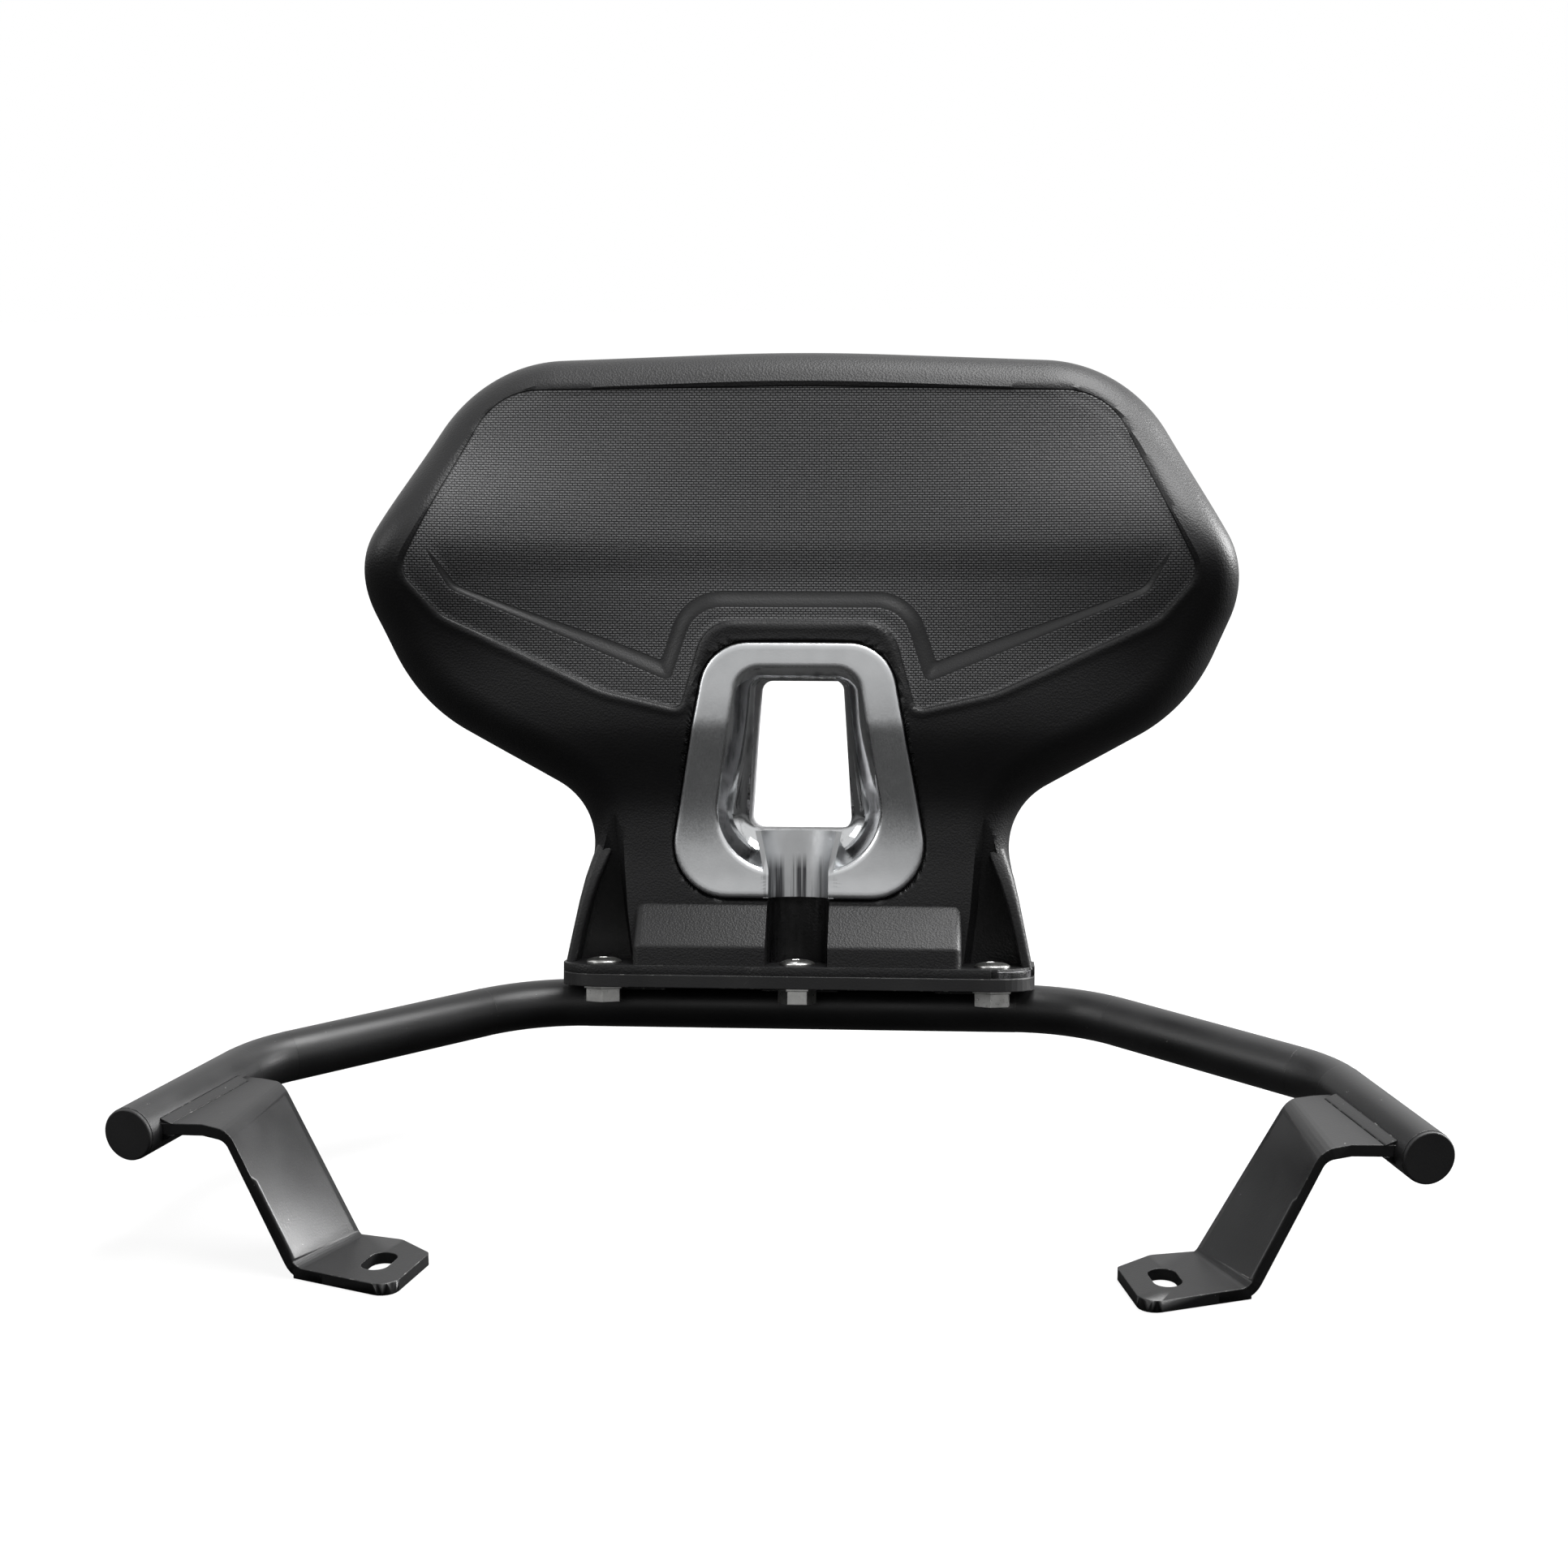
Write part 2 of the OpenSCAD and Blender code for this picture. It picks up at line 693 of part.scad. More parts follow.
module bezel() {
    inner_w = channel_w - 2 * bezel_gap;
    color("#c9cacc")
        on_tube()
            difference() {
                union() {
                    bezel_shell();
                    intersection() {
                        trough(inner_w + 2 * bezel_t, 0.05, 22);
                        translate([-big / 2, -19.5, 0])
                            cube([big, big, big]);
                    }
                }
                trough(inner_w, -20, 24.7);
                translate([-inner_w / 2, trough_y - 30, bezel_base - 20])
                    cube([inner_w, 30, 44.7]);
            }
}

// Room in the foam for the bezel and its trough
module bezel_room() {
    outer = frame_ring(rim_points, rim_radii, -bezel_gap);
    step = frame_ring(edge_points, edge_radii, -bezel_t - 2);
    tunnel = frame_ring(throat_points, throat_radii, -bezel_t - bezel_gap);
    bed = function (z) bezel_y(z) + bezel_rim + bezel_gap;
    skin([lay(tunnel, function (z) throat_y(z) + bezel_gap),
        lay(mix(step, tunnel, 0.5), function (z) throat_y(z) - 1), lay(step, bed),
        lay(outer, bed), lay(outer, function (z) -60)]);
    trough(channel_w + 2 * bezel_t, -bezel_gap, 23);
}

function tunnel_ring(d, t) =
    mix(frame_ring(throat_points, throat_radii, d), frame_ring(back_points, throat_radii, d), t);

module tunnel_liner() {
    rear = function (rise) function (z) rear_y(z) + rise;
    front = function (z) throat_y(z);
    color("#b9babc")
        on_tube()
            skin([lay(tunnel_ring(0, 0), front), lay(tunnel_ring(0, 1), rear(1)),
                lay(tunnel_ring(-1, 1), rear(2)), lay(tunnel_ring(-6, 1), rear(1.6)),
                lay(tunnel_ring(-7, 1), rear(0.4)), lay(tunnel_ring(-liner_t, 1), rear(0.4)),
                lay(tunnel_ring(-liner_t, 0), front)], loop = true);
}

module tunnel_room() {
    d = -liner_t - 0.3;
    skin([lay(tunnel_ring(d, 1), function (z) 90),
        lay(tunnel_ring(d, 1), function (z) rear_y(z) + 0.3),
        lay(tunnel_ring(d, 0), function (z) throat_y(z) - 2)]);
}

// Skin torn off the front right corner of the flange
module chip_cut() {
    translate([plate_half, -plate_front, flange_z - cut])
        linear_extrude(foot_flange_t + 2 * cut)
            difference() {
                polygon([[-18.4, -26.5], [17.6, -26.5], [17.6, 19.5], [-1.4, 18], [-16.9, 2.5]]);
                translate([-plate_half, plate_front])
                    polygon(inset_ring(flange_points, flange_radii, flange_skin, 8, 1));
            }
    translate([plate_half, -plate_front, flange_z + foot_plate_t])
        linear_extrude(foot_flange_t)
            polygon([[-16.4, -0.5], [3.6, -0.5], [3.6, 18.5], [-1.4, 15.5], [-3.9, 10.5],
                [-8.4, 6], [-13.4, 2.9]]);
}

// The foot of the moulding: a skin round the steel foot plate
module pad_flange() {
    color("#242425")
        on_tube()
            difference() {
                translate([0, 0, flange_z])
                    linear_extrude(foot_flange_t)
                        polygon(rounded(flange_points, flange_radii, 8));
                foot_plate_solid();
                upright_solid();
                weld_upright_solid();
                screw_holes();
                chip_cut();
            }
}

module pad() {
    color("#242425")
        on_tube()
            difference() {
                union() {
                    intersection() {
                        pad_body();
                        translate([-big / 2, -big / 2, flange_top])
                            cube([big, big, big]);
                    }
                    ledges();
                    for (side = [0, 1])
                        mirror([side, 0, 0])
                            niche_rib();
                }
                for (side = [0, 1])
                    mirror([side, 0, 0])
                        niche_cut();
                channel_cut();
                upright_solid();
                weld_upright_solid();
                bezel_room();
                tunnel_room();
            }
}

// Screws and nuts

module screw_solid() {
    color("#c4c6c8")
        difference() {
            translate([0, 0, flange_top]) {
                rotate_extrude()
                    intersection() {
                        translate([0, head_h - dome_r])
                            circle(r = dome_r);
                        square([head_d / 2, head_h]);
                    }
                translate([0, 0, -shank_l])
                    cylinder(d = screw_d, h = shank_l + 0.5);
            }
            translate([0, 0, flange_top + head_h - socket_depth])
                cylinder(d = socket_af / cos(30), h = socket_depth + cut, $fn = 6);
        }
}

module nut_solid(turn) {
    color("#a9abad")
        translate([0, 0, plate_z - nut_h])
            rotate(turn)
                difference() {
                    union() {
                        cylinder(d = nut_af / cos(30), h = nut_h, $fn = 6);
                        translate([0, 0, nut_h - skirt_h])
                            cylinder(d = (nut_af + skirt_extra) / cos(30), h = skirt_h, $fn = 6);
                    }
                    translate([0, 0, -cut])
                        cylinder(d = screw_d + 0.1, h = nut_h + 2 * cut);
                }
}

module screw_left() {
    on_tube() at_screw(-1) screw_solid();
}

module screw_centre() {
    on_tube() at_screw(0) screw_solid();
}

module screw_right() {
    on_tube() at_screw(1) screw_solid();
}

module nut_left() {
    on_tube() at_screw(-1) nut_solid(32);
}

module nut_centre() {
    on_tube() at_screw(0) nut_solid(4);
}

module nut_right() {
    on_tube() at_screw(1) nut_solid(26);
}

tube();
end_cap_left();
end_cap_right();
bracket_left();
bracket_right();
weld_bracket_left();
weld_bracket_right();
base_plate();
weld_plate_front();
weld_plate_rear();
foot_plate();
upright();
weld_upright();
pad_flange();
pad();
bezel();
tunnel_liner();
screw_left();
screw_centre();
screw_right();
nut_left();
nut_centre();
nut_right();
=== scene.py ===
import math

import bmesh
import bpy
import numpy as np
from mathutils import Matrix, Vector


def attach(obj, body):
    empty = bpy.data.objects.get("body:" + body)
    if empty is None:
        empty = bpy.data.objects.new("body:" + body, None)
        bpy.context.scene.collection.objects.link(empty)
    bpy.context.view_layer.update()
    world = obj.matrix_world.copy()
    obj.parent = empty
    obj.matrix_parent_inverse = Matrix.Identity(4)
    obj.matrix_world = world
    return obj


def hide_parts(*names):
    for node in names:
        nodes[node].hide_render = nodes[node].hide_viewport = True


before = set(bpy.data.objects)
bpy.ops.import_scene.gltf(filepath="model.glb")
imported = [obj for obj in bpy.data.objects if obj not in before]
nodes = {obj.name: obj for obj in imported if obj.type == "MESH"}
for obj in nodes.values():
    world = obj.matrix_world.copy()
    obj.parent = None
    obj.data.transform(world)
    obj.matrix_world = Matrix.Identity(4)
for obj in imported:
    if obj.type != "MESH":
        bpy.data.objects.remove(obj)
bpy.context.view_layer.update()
MM = 0.001

# Sizes shared with the CAD source, in millimetres
TUBE_Y, TUBE_Z = 169.0, 47.5
TILT = 11.0
PLATE_TOP = 14.5
FLANGE_TOP = 18.0
SCREW_Y = -21.7
SCREW_PITCH = 75.9
CHANNEL_R = 12.2
RIM_ROLL = 17.0
RIM_T = 36.0
WING = 22.0
LEDGE_HALF = 64.0
RIB_X = 86.9
PLATE_HALF, PLATE_FRONT, PLATE_BACK = 92.4, -33.5, 11.0
PLATE_CORNER_R, BACK_CORNER_R, DIP_R = 16.5, 6, 6
TROUGH_Y = -20.8
TROUGH_BED_R = 14.2
TROUGH_FLARE = 4

# Sizes of scene.py's own detail, in millimetres
OUTSIDE_PANEL = -20.0
RIB_BACK = 6
LEDGE_END_R = 3.4
BEZEL_T = 2.0
SHANK_R, SCREW_HEAD_R, SOCKET_R, SHANK_L = 4, 6.9, 2.9, 15

# Limits in metres and square metres, and counts
MERGE = 1e-6
ARM_FACE_AREA = 7e-4
ARM_CUTS = 14


# Base plate frame to the row frame, in metres
def on_tube(points):
    p = np.asarray(points, float).reshape(-1, 3)
    c, s = math.cos(math.radians(TILT)), math.sin(math.radians(TILT))
    out = np.column_stack([p[:, 0], TUBE_Y + c * p[:, 1] + s * p[:, 2],
                           TUBE_Z - s * p[:, 1] + c * p[:, 2]])
    return out * MM


def smooth(v, low, high):
    t = np.clip((np.asarray(v, float) - low) / (high - low), 0, 1)
    return t * t * (3 - 2 * t)


def curve(table, v):
    t = np.array(table, float)
    v = np.asarray(v, float)
    x, y = t[:, 0], t[:, 1]
    n = len(t)
    a = np.maximum(np.arange(n) - 1, 0)
    b = np.minimum(np.arange(n) + 1, n - 1)
    m = (y[b] - y[a]) / (x[b] - x[a])
    i = np.clip(np.searchsorted(x, v, side="right") - 1, 0, n - 2)
    h = x[i + 1] - x[i]
    u = (v - x[i]) / h
    mid = (y[i] * (1 + 2 * u) * (1 - u) ** 2 + y[i + 1] * u * u * (3 - 2 * u)
           + h * m[i] * u * (1 - u) ** 2 + h * m[i + 1] * u * u * (u - 1))
    return np.where(v <= x[0], y[0], np.where(v >= x[-1], y[-1] + (v - x[-1]) * m[-1], mid))


# Rounded outline as lists of points; arc_n pieces a corner, side_n pieces a side
def rounded(points, radii, arc_n, side_n):
    p = np.array(points, float)
    n = len(p)
    arcs = []
    for i in range(n):
        a, b = p[i - 1] - p[i], p[(i + 1) % n] - p[i]
        ua, ub = a / np.linalg.norm(a), b / np.linalg.norm(b)
        half = math.acos(float(np.clip(ua @ ub, -1, 1))) / 2
        s = radii[i] / math.tan(half)
        mid = (ua + ub) / np.linalg.norm(ua + ub)
        c = p[i] + mid * radii[i] / math.sin(half)
        q0, q1 = p[i] + ua * s - c, p[i] + ub * s - c
        a0 = math.atan2(q0[1], q0[0])
        turn = (math.atan2(q1[1], q1[0]) - a0 + 3 * math.pi) % (2 * math.pi) - math.pi
        ang = a0 + turn * np.linspace(0, 1, arc_n + 1)
        arcs.append(c + radii[i] * np.column_stack([np.cos(ang), np.sin(ang)]))
    out = []
    for i in range(n):
        out.append(arcs[i])
        e, f = arcs[i][-1], arcs[(i + 1) % n][0]
        t = np.linspace(0, 1, side_n + 1)[1:-1, None]
        out.append(e + (f - e) * t)
    return np.vstack(out)


def mirrored(half):
    """Right half of an outline, from the bottom up, made whole."""
    return list(half) + [(-x, z) for x, z in reversed(half)]


# Even spacing along a closed outline, with inward normals
def even(line, n):
    loop = np.vstack([line, line[:1]])
    d = np.r_[0, np.cumsum(np.linalg.norm(np.diff(loop, axis=0), axis=1))]
    keep = np.r_[True, np.diff(d) > 1e-9]
    s = np.linspace(0, d[-1], n, endpoint=False)
    pts = np.column_stack([np.interp(s, d[keep], loop[keep, k]) for k in (0, 1)])
    tan = np.roll(pts, -1, axis=0) - np.roll(pts, 1, axis=0)
    tan /= np.linalg.norm(tan, axis=1)[:, None]
    return pts, np.column_stack([-tan[:, 1], tan[:, 0]])


# Signed distance to a closed outline, positive inside
def inside_by(line, x, z):
    x, z = np.asarray(x, float).ravel(), np.asarray(z, float).ravel()
    a = np.asarray(line, float)
    b = np.roll(a, -1, axis=0)
    best = np.full(len(x), 1e9)
    odd = np.zeros(len(x), bool)
    for (ax, az), (bx, bz) in zip(a, b):
        dx, dz = bx - ax, bz - az
        length = dx * dx + dz * dz + 1e-12
        t = np.clip(((x - ax) * dx + (z - az) * dz) / length, 0, 1)
        best = np.minimum(best, np.hypot(x - ax - t * dx, z - az - t * dz))
        cross = (az > z) != (bz > z)
        with np.errstate(divide="ignore", invalid="ignore"):
            odd ^= cross & (x < (bx - ax) * (z - az) / (bz - az) + ax)
    return np.where(odd, best, -best)


def make(name, points, faces, material):
    mesh = bpy.data.meshes.new(name)
    mesh.from_pydata([tuple(p) for p in np.asarray(points)], [], [tuple(f) for f in faces])
    mesh.validate()
    mesh.update()
    obj = bpy.data.objects.new(name, mesh)
    bpy.context.scene.collection.objects.link(obj)
    if material is not None:
        mesh.materials.append(material)
    mesh.shade_smooth()
    return obj


def smooth_shade(obj, angle):
    """Smooth shading with sharp edges over an angle in degrees."""
    obj.data.shade_smooth()
    obj.data.set_sharp_from_angle(angle=math.radians(angle))


def only_material(obj, mat):
    obj.data.materials.clear()
    obj.data.materials.append(mat)


# Faces over rings with equal numbers of points, wound to face outwards
def ring_faces(rows, n, loop=False):
    out = []
    for j in range(rows if loop else rows - 1):
        k = (j + 1) % rows
        for i in range(n):
            m = (i + 1) % n
            out.append((j * n + i, k * n + i, k * n + m, j * n + m))
    return out


def apply_modifiers(obj):
    deps = bpy.context.evaluated_depsgraph_get()
    mesh = bpy.data.meshes.new_from_object(obj.evaluated_get(deps))
    old = obj.data
    obj.modifiers.clear()
    obj.data = mesh
    bpy.data.meshes.remove(old)


def weld_flaps(obj):
    """Weld nearly equal vertices and delete the paired flaps that cuts leave behind."""
    bm = bmesh.new()
    bm.from_mesh(obj.data)
    bmesh.ops.remove_doubles(bm, verts=bm.verts, dist=MERGE)
    bmesh.ops.triangulate(bm, faces=bm.faces)
    pairs = {}
    for face in bm.faces:
        pairs.setdefault(frozenset(v.index for v in face.verts), []).append(face)
    flaps = [face for pair in pairs.values() if len(pair) > 1 for face in pair]
    bmesh.ops.delete(bm, geom=flaps, context="FACES")
    bm.to_mesh(obj.data)
    bm.free()


def cut(obj, tools, kind="DIFFERENCE"):
    for tool in tools:
        mod = obj.modifiers.new("cut", "BOOLEAN")
        mod.operation = kind
        mod.solver = "EXACT"
        mod.object = tool
    apply_modifiers(obj)
    for tool in tools:
        mesh = tool.data
        bpy.data.objects.remove(tool)
        bpy.data.meshes.remove(mesh)


def bevel(obj, width):
    mod = obj.modifiers.new("bevel", "BEVEL")
    mod.width = width * MM
    mod.segments = 3
    mod.limit_method = "ANGLE"
    mod.angle_limit = math.radians(35)
    mod.use_clamp_overlap = True
    apply_modifiers(obj)
    smooth_shade(obj, 50)


# A prism of an outline in x and y of the base plate frame, between two heights
def prism(name, outline, low, high):
    o = np.asarray(outline, float)
    n = len(o)
    if np.sum(o[:, 0] * np.roll(o[:, 1], -1) - np.roll(o[:, 0], -1) * o[:, 1]) < 0:
        o = o[::-1]
    rows = [np.column_stack([o, np.full(n, float(v))]) for v in (low, high)]
    faces = [(i, (i + 1) % n, n + (i + 1) % n, n + i) for i in range(n)]
    faces += [tuple(range(n))[::-1], tuple(range(n, 2 * n))]
    return make(name, on_tube(np.vstack(rows)), faces, None)


def join(name, objs):
    first = objs[0]
    with bpy.context.temp_override(active_object=first, object=first,
                                   selected_editable_objects=objs, selected_objects=objs):
        bpy.ops.object.join()
    first.name = name
    first.data.name = name
    return first


# Material helpers
def material(name):
    mat = bpy.data.materials.new(name)
    mat.use_nodes = True
    tree = mat.node_tree
    tree.nodes.clear()
    out = tree.nodes.new("ShaderNodeOutputMaterial")
    bsdf = tree.nodes.new("ShaderNodeBsdfPrincipled")
    tree.links.new(bsdf.outputs[0], out.inputs[0])
    return mat, tree, bsdf


class Graph:
    """Short names for the nodes that the materials share."""

    def __init__(self, tree):
        self.t = tree

    def node(self, kind, inputs=(), **props):
        n = self.t.nodes.new(kind)
        for k, v in props.items():
            setattr(n, k, v)
        for k, v in dict(inputs).items():
            if hasattr(v, "is_output"):
                self.t.links.new(v, n.inputs[k])
            else:
                n.inputs[k].default_value = v
        return n

    def coords(self):
        return self.node("ShaderNodeTexCoord").outputs["Object"]

    def coords_generated(self):
        return self.node("ShaderNodeTexCoord").outputs["Generated"]

    def noise(self, at, scale, detail=3.0, rough=0.5):
        return self.node("ShaderNodeTexNoise", {"Vector": at, "Scale": scale, "Detail": detail,
                                                "Roughness": rough}).outputs[0]

    def stretched(self, at, scale):
        return self.node("ShaderNodeMapping", {"Vector": at, "Scale": scale}).outputs[0]

    def cells(self, at, scale):
        return self.node("ShaderNodeTexVoronoi", {"Vector": at, "Scale": scale},
                         feature="F1").outputs["Distance"]

    def math(self, op, a, b=0.0, c=0.0):
        return self.node("ShaderNodeMath", {0: a, 1: b, 2: c}, operation=op).outputs[0]

    def span(self, v, a, b, c=0.0, d=1.0, kind="LINEAR"):
        return self.node("ShaderNodeMapRange", {0: v, 1: a, 2: b, 3: c, 4: d},
                         interpolation_type=kind).outputs[0]

    def blend(self, f, a, b):
        n = self.node("ShaderNodeMix", data_type="RGBA")
        for i, v in ((0, f), (6, a), (7, b)):
            if hasattr(v, "is_output"):
                self.t.links.new(v, n.inputs[i])
            else:
                n.inputs[i].default_value = v if i == 0 else (*v, 1.0)
        return n.outputs[2]

    def bump(self, height, strength, distance, normal=None):
        ins = {"Height": height, "Strength": strength, "Distance": distance}
        if normal is not None:
            ins["Normal"] = normal
        return self.node("ShaderNodeBump", ins).outputs[0]

    def attr(self, name):
        return self.node("ShaderNodeAttribute", attribute_name=name).outputs["Fac"]


def powder_coat(name, gloss=0.42, chips=0.0):
    mat, tree, bsdf = material(name)
    g = Graph(tree)
    at = g.coords()
    cloud = g.noise(at, 38.0, 4.0)
    peel = g.noise(at, 1500.0, 2.0)
    dust = g.noise(at, 240.0, 5.0, 0.65)
    tone = g.blend(g.span(cloud, 0.3, 0.7), (0.004, 0.004, 0.0043), (0.009, 0.009, 0.0095))
    tone = g.blend(g.span(dust, 0.66, 0.78, 0, 0.3), tone, (0.07, 0.07, 0.07))
    rounded_edge = g.node("ShaderNodeBevel", {"Radius": 0.0006}, samples=6).outputs[0]
    if chips:
        spots = g.noise(at, 420.0, 3.0, 0.7)
        tone = g.blend(g.span(spots, 0.735, 0.75, 0, chips), tone, (0.42, 0.42, 0.41))
        flat = g.node("ShaderNodeNewGeometry").outputs["Normal"]
        turn = g.node("ShaderNodeVectorMath", {0: rounded_edge, 1: flat},
                      operation="DOT_PRODUCT").outputs["Value"]
        nicks = g.math("MULTIPLY", g.span(turn, 0.985, 0.9),
                       g.span(g.noise(at, 260.0, 4.0, 0.7), 0.56, 0.64))
        tone = g.blend(g.math("MULTIPLY", nicks, 0.6), tone, (0.30, 0.30, 0.29))
    tree.links.new(tone, bsdf.inputs["Base Color"])
    tree.links.new(g.span(cloud, 0.2, 0.8, gloss - 0.06, gloss + 0.08), bsdf.inputs["Roughness"])
    tree.links.new(g.bump(peel, 0.18, 0.0002, rounded_edge), bsdf.inputs["Normal"])
    bsdf.inputs["Specular IOR Level"].default_value = 0.45
    return mat


def metal(name, colour, rough, spread=0.08):
    mat, tree, bsdf = material(name)
    g = Graph(tree)
    at = g.coords()
    cloud = g.noise(at, 160.0, 4.0, 0.6)
    grain = g.noise(at, 900.0, 3.0)
    dark = tuple(c * 0.72 for c in colour)
    tree.links.new(g.blend(g.span(cloud, 0.35, 0.7), colour, dark), bsdf.inputs["Base Color"])
    tree.links.new(g.span(grain, 0.25, 0.75, rough - spread, rough + spread),
                   bsdf.inputs["Roughness"])
    edge = g.node("ShaderNodeBevel", {"Radius": 0.0004}, samples=6).outputs[0]
    tree.links.new(g.bump(grain, 0.08, 0.0002, edge), bsdf.inputs["Normal"])
    bsdf.inputs["Metallic"].default_value = 1.0
    return mat


def pad_skin(name):
    mat, tree, bsdf = material(name)
    g = Graph(tree)
    at = g.coords()
    border, edge, band = g.attr("border"), g.attr("edge"), g.attr("band")
    cloud = g.noise(at, 26.0, 4.0)
    grain = g.cells(at, 1250.0)
    fine = g.noise(at, 3200.0, 2.0)
    scuff = g.noise(at, 310.0, 4.0, 0.7)
    # Staggered short dashes stand out of the panel, but not on its smooth bevel
    turn = g.node("ShaderNodeMapping", {"Vector": at,
                                        "Rotation": (math.radians(90 + TILT), 0, 0)},
                  vector_type="POINT").outputs[0]
    brick = g.node("ShaderNodeTexBrick", {
        "Vector": turn, "Scale": 1.0, "Mortar Size": 0.00026, "Mortar Smooth": 0.5,
        "Brick Width": 0.0019, "Row Height": 0.00098, "Color1": (1, 1, 1, 1),
        "Color2": (1, 1, 1, 1), "Mortar": (0, 0, 0, 1)}, offset=0.5)
    inside = g.span(border, 0.2, 0.7)
    in_band = g.math("MULTIPLY", g.span(edge, -0.3, 0.1),
                     g.span(g.math("SUBTRACT", band, edge), -0.2, 0.2))
    in_band = g.math("MULTIPLY", in_band, g.span(band, 0.3, 1.2))
    where = g.math("MULTIPLY", inside, g.math("SUBTRACT", 1.0, in_band))
    dash = g.math("MULTIPLY", g.math("SUBTRACT", 1.0, brick.outputs["Fac"]), where)
    leather = g.math("MULTIPLY_ADD", fine, 0.35, grain)
    leather = g.math("MULTIPLY", leather, g.math("MULTIPLY_ADD", in_band, -0.3, 0.5))
    step = g.span(border, -0.3, 0.35, 2.2, 0.0, "SMOOTHSTEP")
    height = g.math("ADD", g.math("MULTIPLY_ADD", dash, 1.3, leather), step)
    tone = g.blend(g.span(cloud, 0.3, 0.7), (0.0055, 0.0055, 0.006), (0.009, 0.009, 0.0094))
    # The dashes are painted much lighter than the leather: a painted highlight of the light that
    # their raised tops catch
    tone = g.blend(g.math("MULTIPLY", dash, 0.8), tone, (0.135, 0.135, 0.138))
    tone = g.blend(g.span(scuff, 0.74, 0.8, 0, 0.25), tone, (0.05, 0.05, 0.05))
    tree.links.new(tone, bsdf.inputs["Base Color"])
    rough = g.span(cloud, 0.2, 0.8, 0.42, 0.5)
    tree.links.new(g.math("MULTIPLY_ADD", where, 0.04, rough), bsdf.inputs["Roughness"])
    tree.links.new(g.bump(height, 0.5, 0.00035), bsdf.inputs["Normal"])
    bsdf.inputs["Specular IOR Level"].default_value = 0.33
    return mat


def bezel_metal(name):
    mat, tree, bsdf = material(name)
    g = Graph(tree)
    at = g.coords()
    polish, stripe_zone = g.attr("polish"), g.attr("stripe_zone")
    cloud = g.noise(at, 90.0, 3.0)
    grain = g.noise(at, 1400.0, 2.0)
    smear = g.noise(g.stretched(at, (1.0, 1.0, 0.25)), 230.0, 4.0, 0.65)
    lines = g.noise(g.stretched(at, (1.0, 0.02, 0.02)), 420.0, 3.0, 0.7)
    pits = g.noise(at, 650.0, 3.0, 0.7)
    tone = g.blend(g.span(cloud, 0.3, 0.7), (0.62, 0.63, 0.64), (0.7, 0.71, 0.72))
    worn = g.math("MULTIPLY", g.span(smear, 0.5, 0.72), polish)
    tone = g.blend(g.math("MULTIPLY", worn, 0.75), tone, (0.13, 0.13, 0.135))
    # Dark vertical stripes in the lower trough are a painted reflection of the surroundings; the
    # same stripes also bump the surface as fine facets
    painted_reflection_stripes = g.math("MULTIPLY", g.span(lines, 0.46, 0.62), stripe_zone)
    tone = g.blend(painted_reflection_stripes, tone, (0.10, 0.10, 0.105))
    tone = g.blend(g.span(pits, 0.76, 0.8, 0, 0.5), tone, (0.2, 0.2, 0.2))
    tree.links.new(tone, bsdf.inputs["Base Color"])
    satin = g.span(grain, 0.3, 0.7, 0.28, 0.38)
    mirror = g.math("MULTIPLY_ADD", smear, 0.14, 0.02)
    mixed = g.math("ADD", g.math("MULTIPLY", satin, g.math("SUBTRACT", 1.0, polish)),
                   g.math("MULTIPLY", mirror, polish))
    tree.links.new(mixed, bsdf.inputs["Roughness"])
    wave = g.math("MULTIPLY_ADD", g.math("MULTIPLY", lines, stripe_zone), 2.0, grain)
    tree.links.new(g.bump(wave, 0.06, 0.0002), bsdf.inputs["Normal"])
    bsdf.inputs["Metallic"].default_value = 1.0
    return mat


def liner_plastic(name):
    mat, tree, bsdf = material(name)
    g = Graph(tree)
    at = g.coords()
    speck = g.noise(at, 700.0, 3.0, 0.6)
    tree.links.new(g.blend(g.span(speck, 0.35, 0.65), (0.30, 0.30, 0.31), (0.46, 0.46, 0.47)),
                   bsdf.inputs["Base Color"])
    tree.links.new(g.span(speck, 0.3, 0.7, 0.36, 0.5), bsdf.inputs["Roughness"])
    tree.links.new(g.bump(speck, 0.1, 0.0002), bsdf.inputs["Normal"])
    return mat


COAT = powder_coat("powder_coat", 0.40, 0.4)
COAT_WELD = powder_coat("powder_coat_weld", 0.34, 0.8)
CAP = powder_coat("cap_coat", 0.5)
SKIN = pad_skin("pad_skin")
CHROME = bezel_metal("bezel_chrome")
LINER = liner_plastic("liner_grey")
ZINC = metal("zinc", (0.72, 0.72, 0.70), 0.3, 0.04)
STEEL = metal("bare_steel", (0.30, 0.30, 0.31), 0.5)

# Pad surface in the base plate frame: (height over the flange, depth or thickness)
FACE = [(-30, -19), (0, -19), (24, -19.2), (47, -18.8), (64, -20), (93, -30.7), (131, -31),
        (182, -30), (223, -30.6), (245, -31)]
RIM = [(-30, 26), (0, 26), (34, 27), (64, 30), (96, RIM_T), (245, RIM_T)]
CORE = [(-30, 30), (0, 30), (37, 28), (58, 32.5), (111, 52), (171, 47), (230, 37), (245, 34)]


def face_y(x, z):
    h = np.asarray(z) - FLANGE_TOP
    return curve(FACE, h) - WING * (np.asarray(x) / 148) ** 2 * np.exp(-((h - 167) / 38) ** 2)


def rim_at(z):
    return curve(RIM, np.asarray(z) - FLANGE_TOP)


def core_at(z):
    return curve(CORE, np.asarray(z) - FLANGE_TOP)


PAD_HALF = [(98.5, -20), (78.5, 78.5), (151.6, 119.6), (172.1, 169.7), (126.1, 252.8), (0, 257.5)]
PAD_RADII = [30, 28, 65, 38, 56, 900]


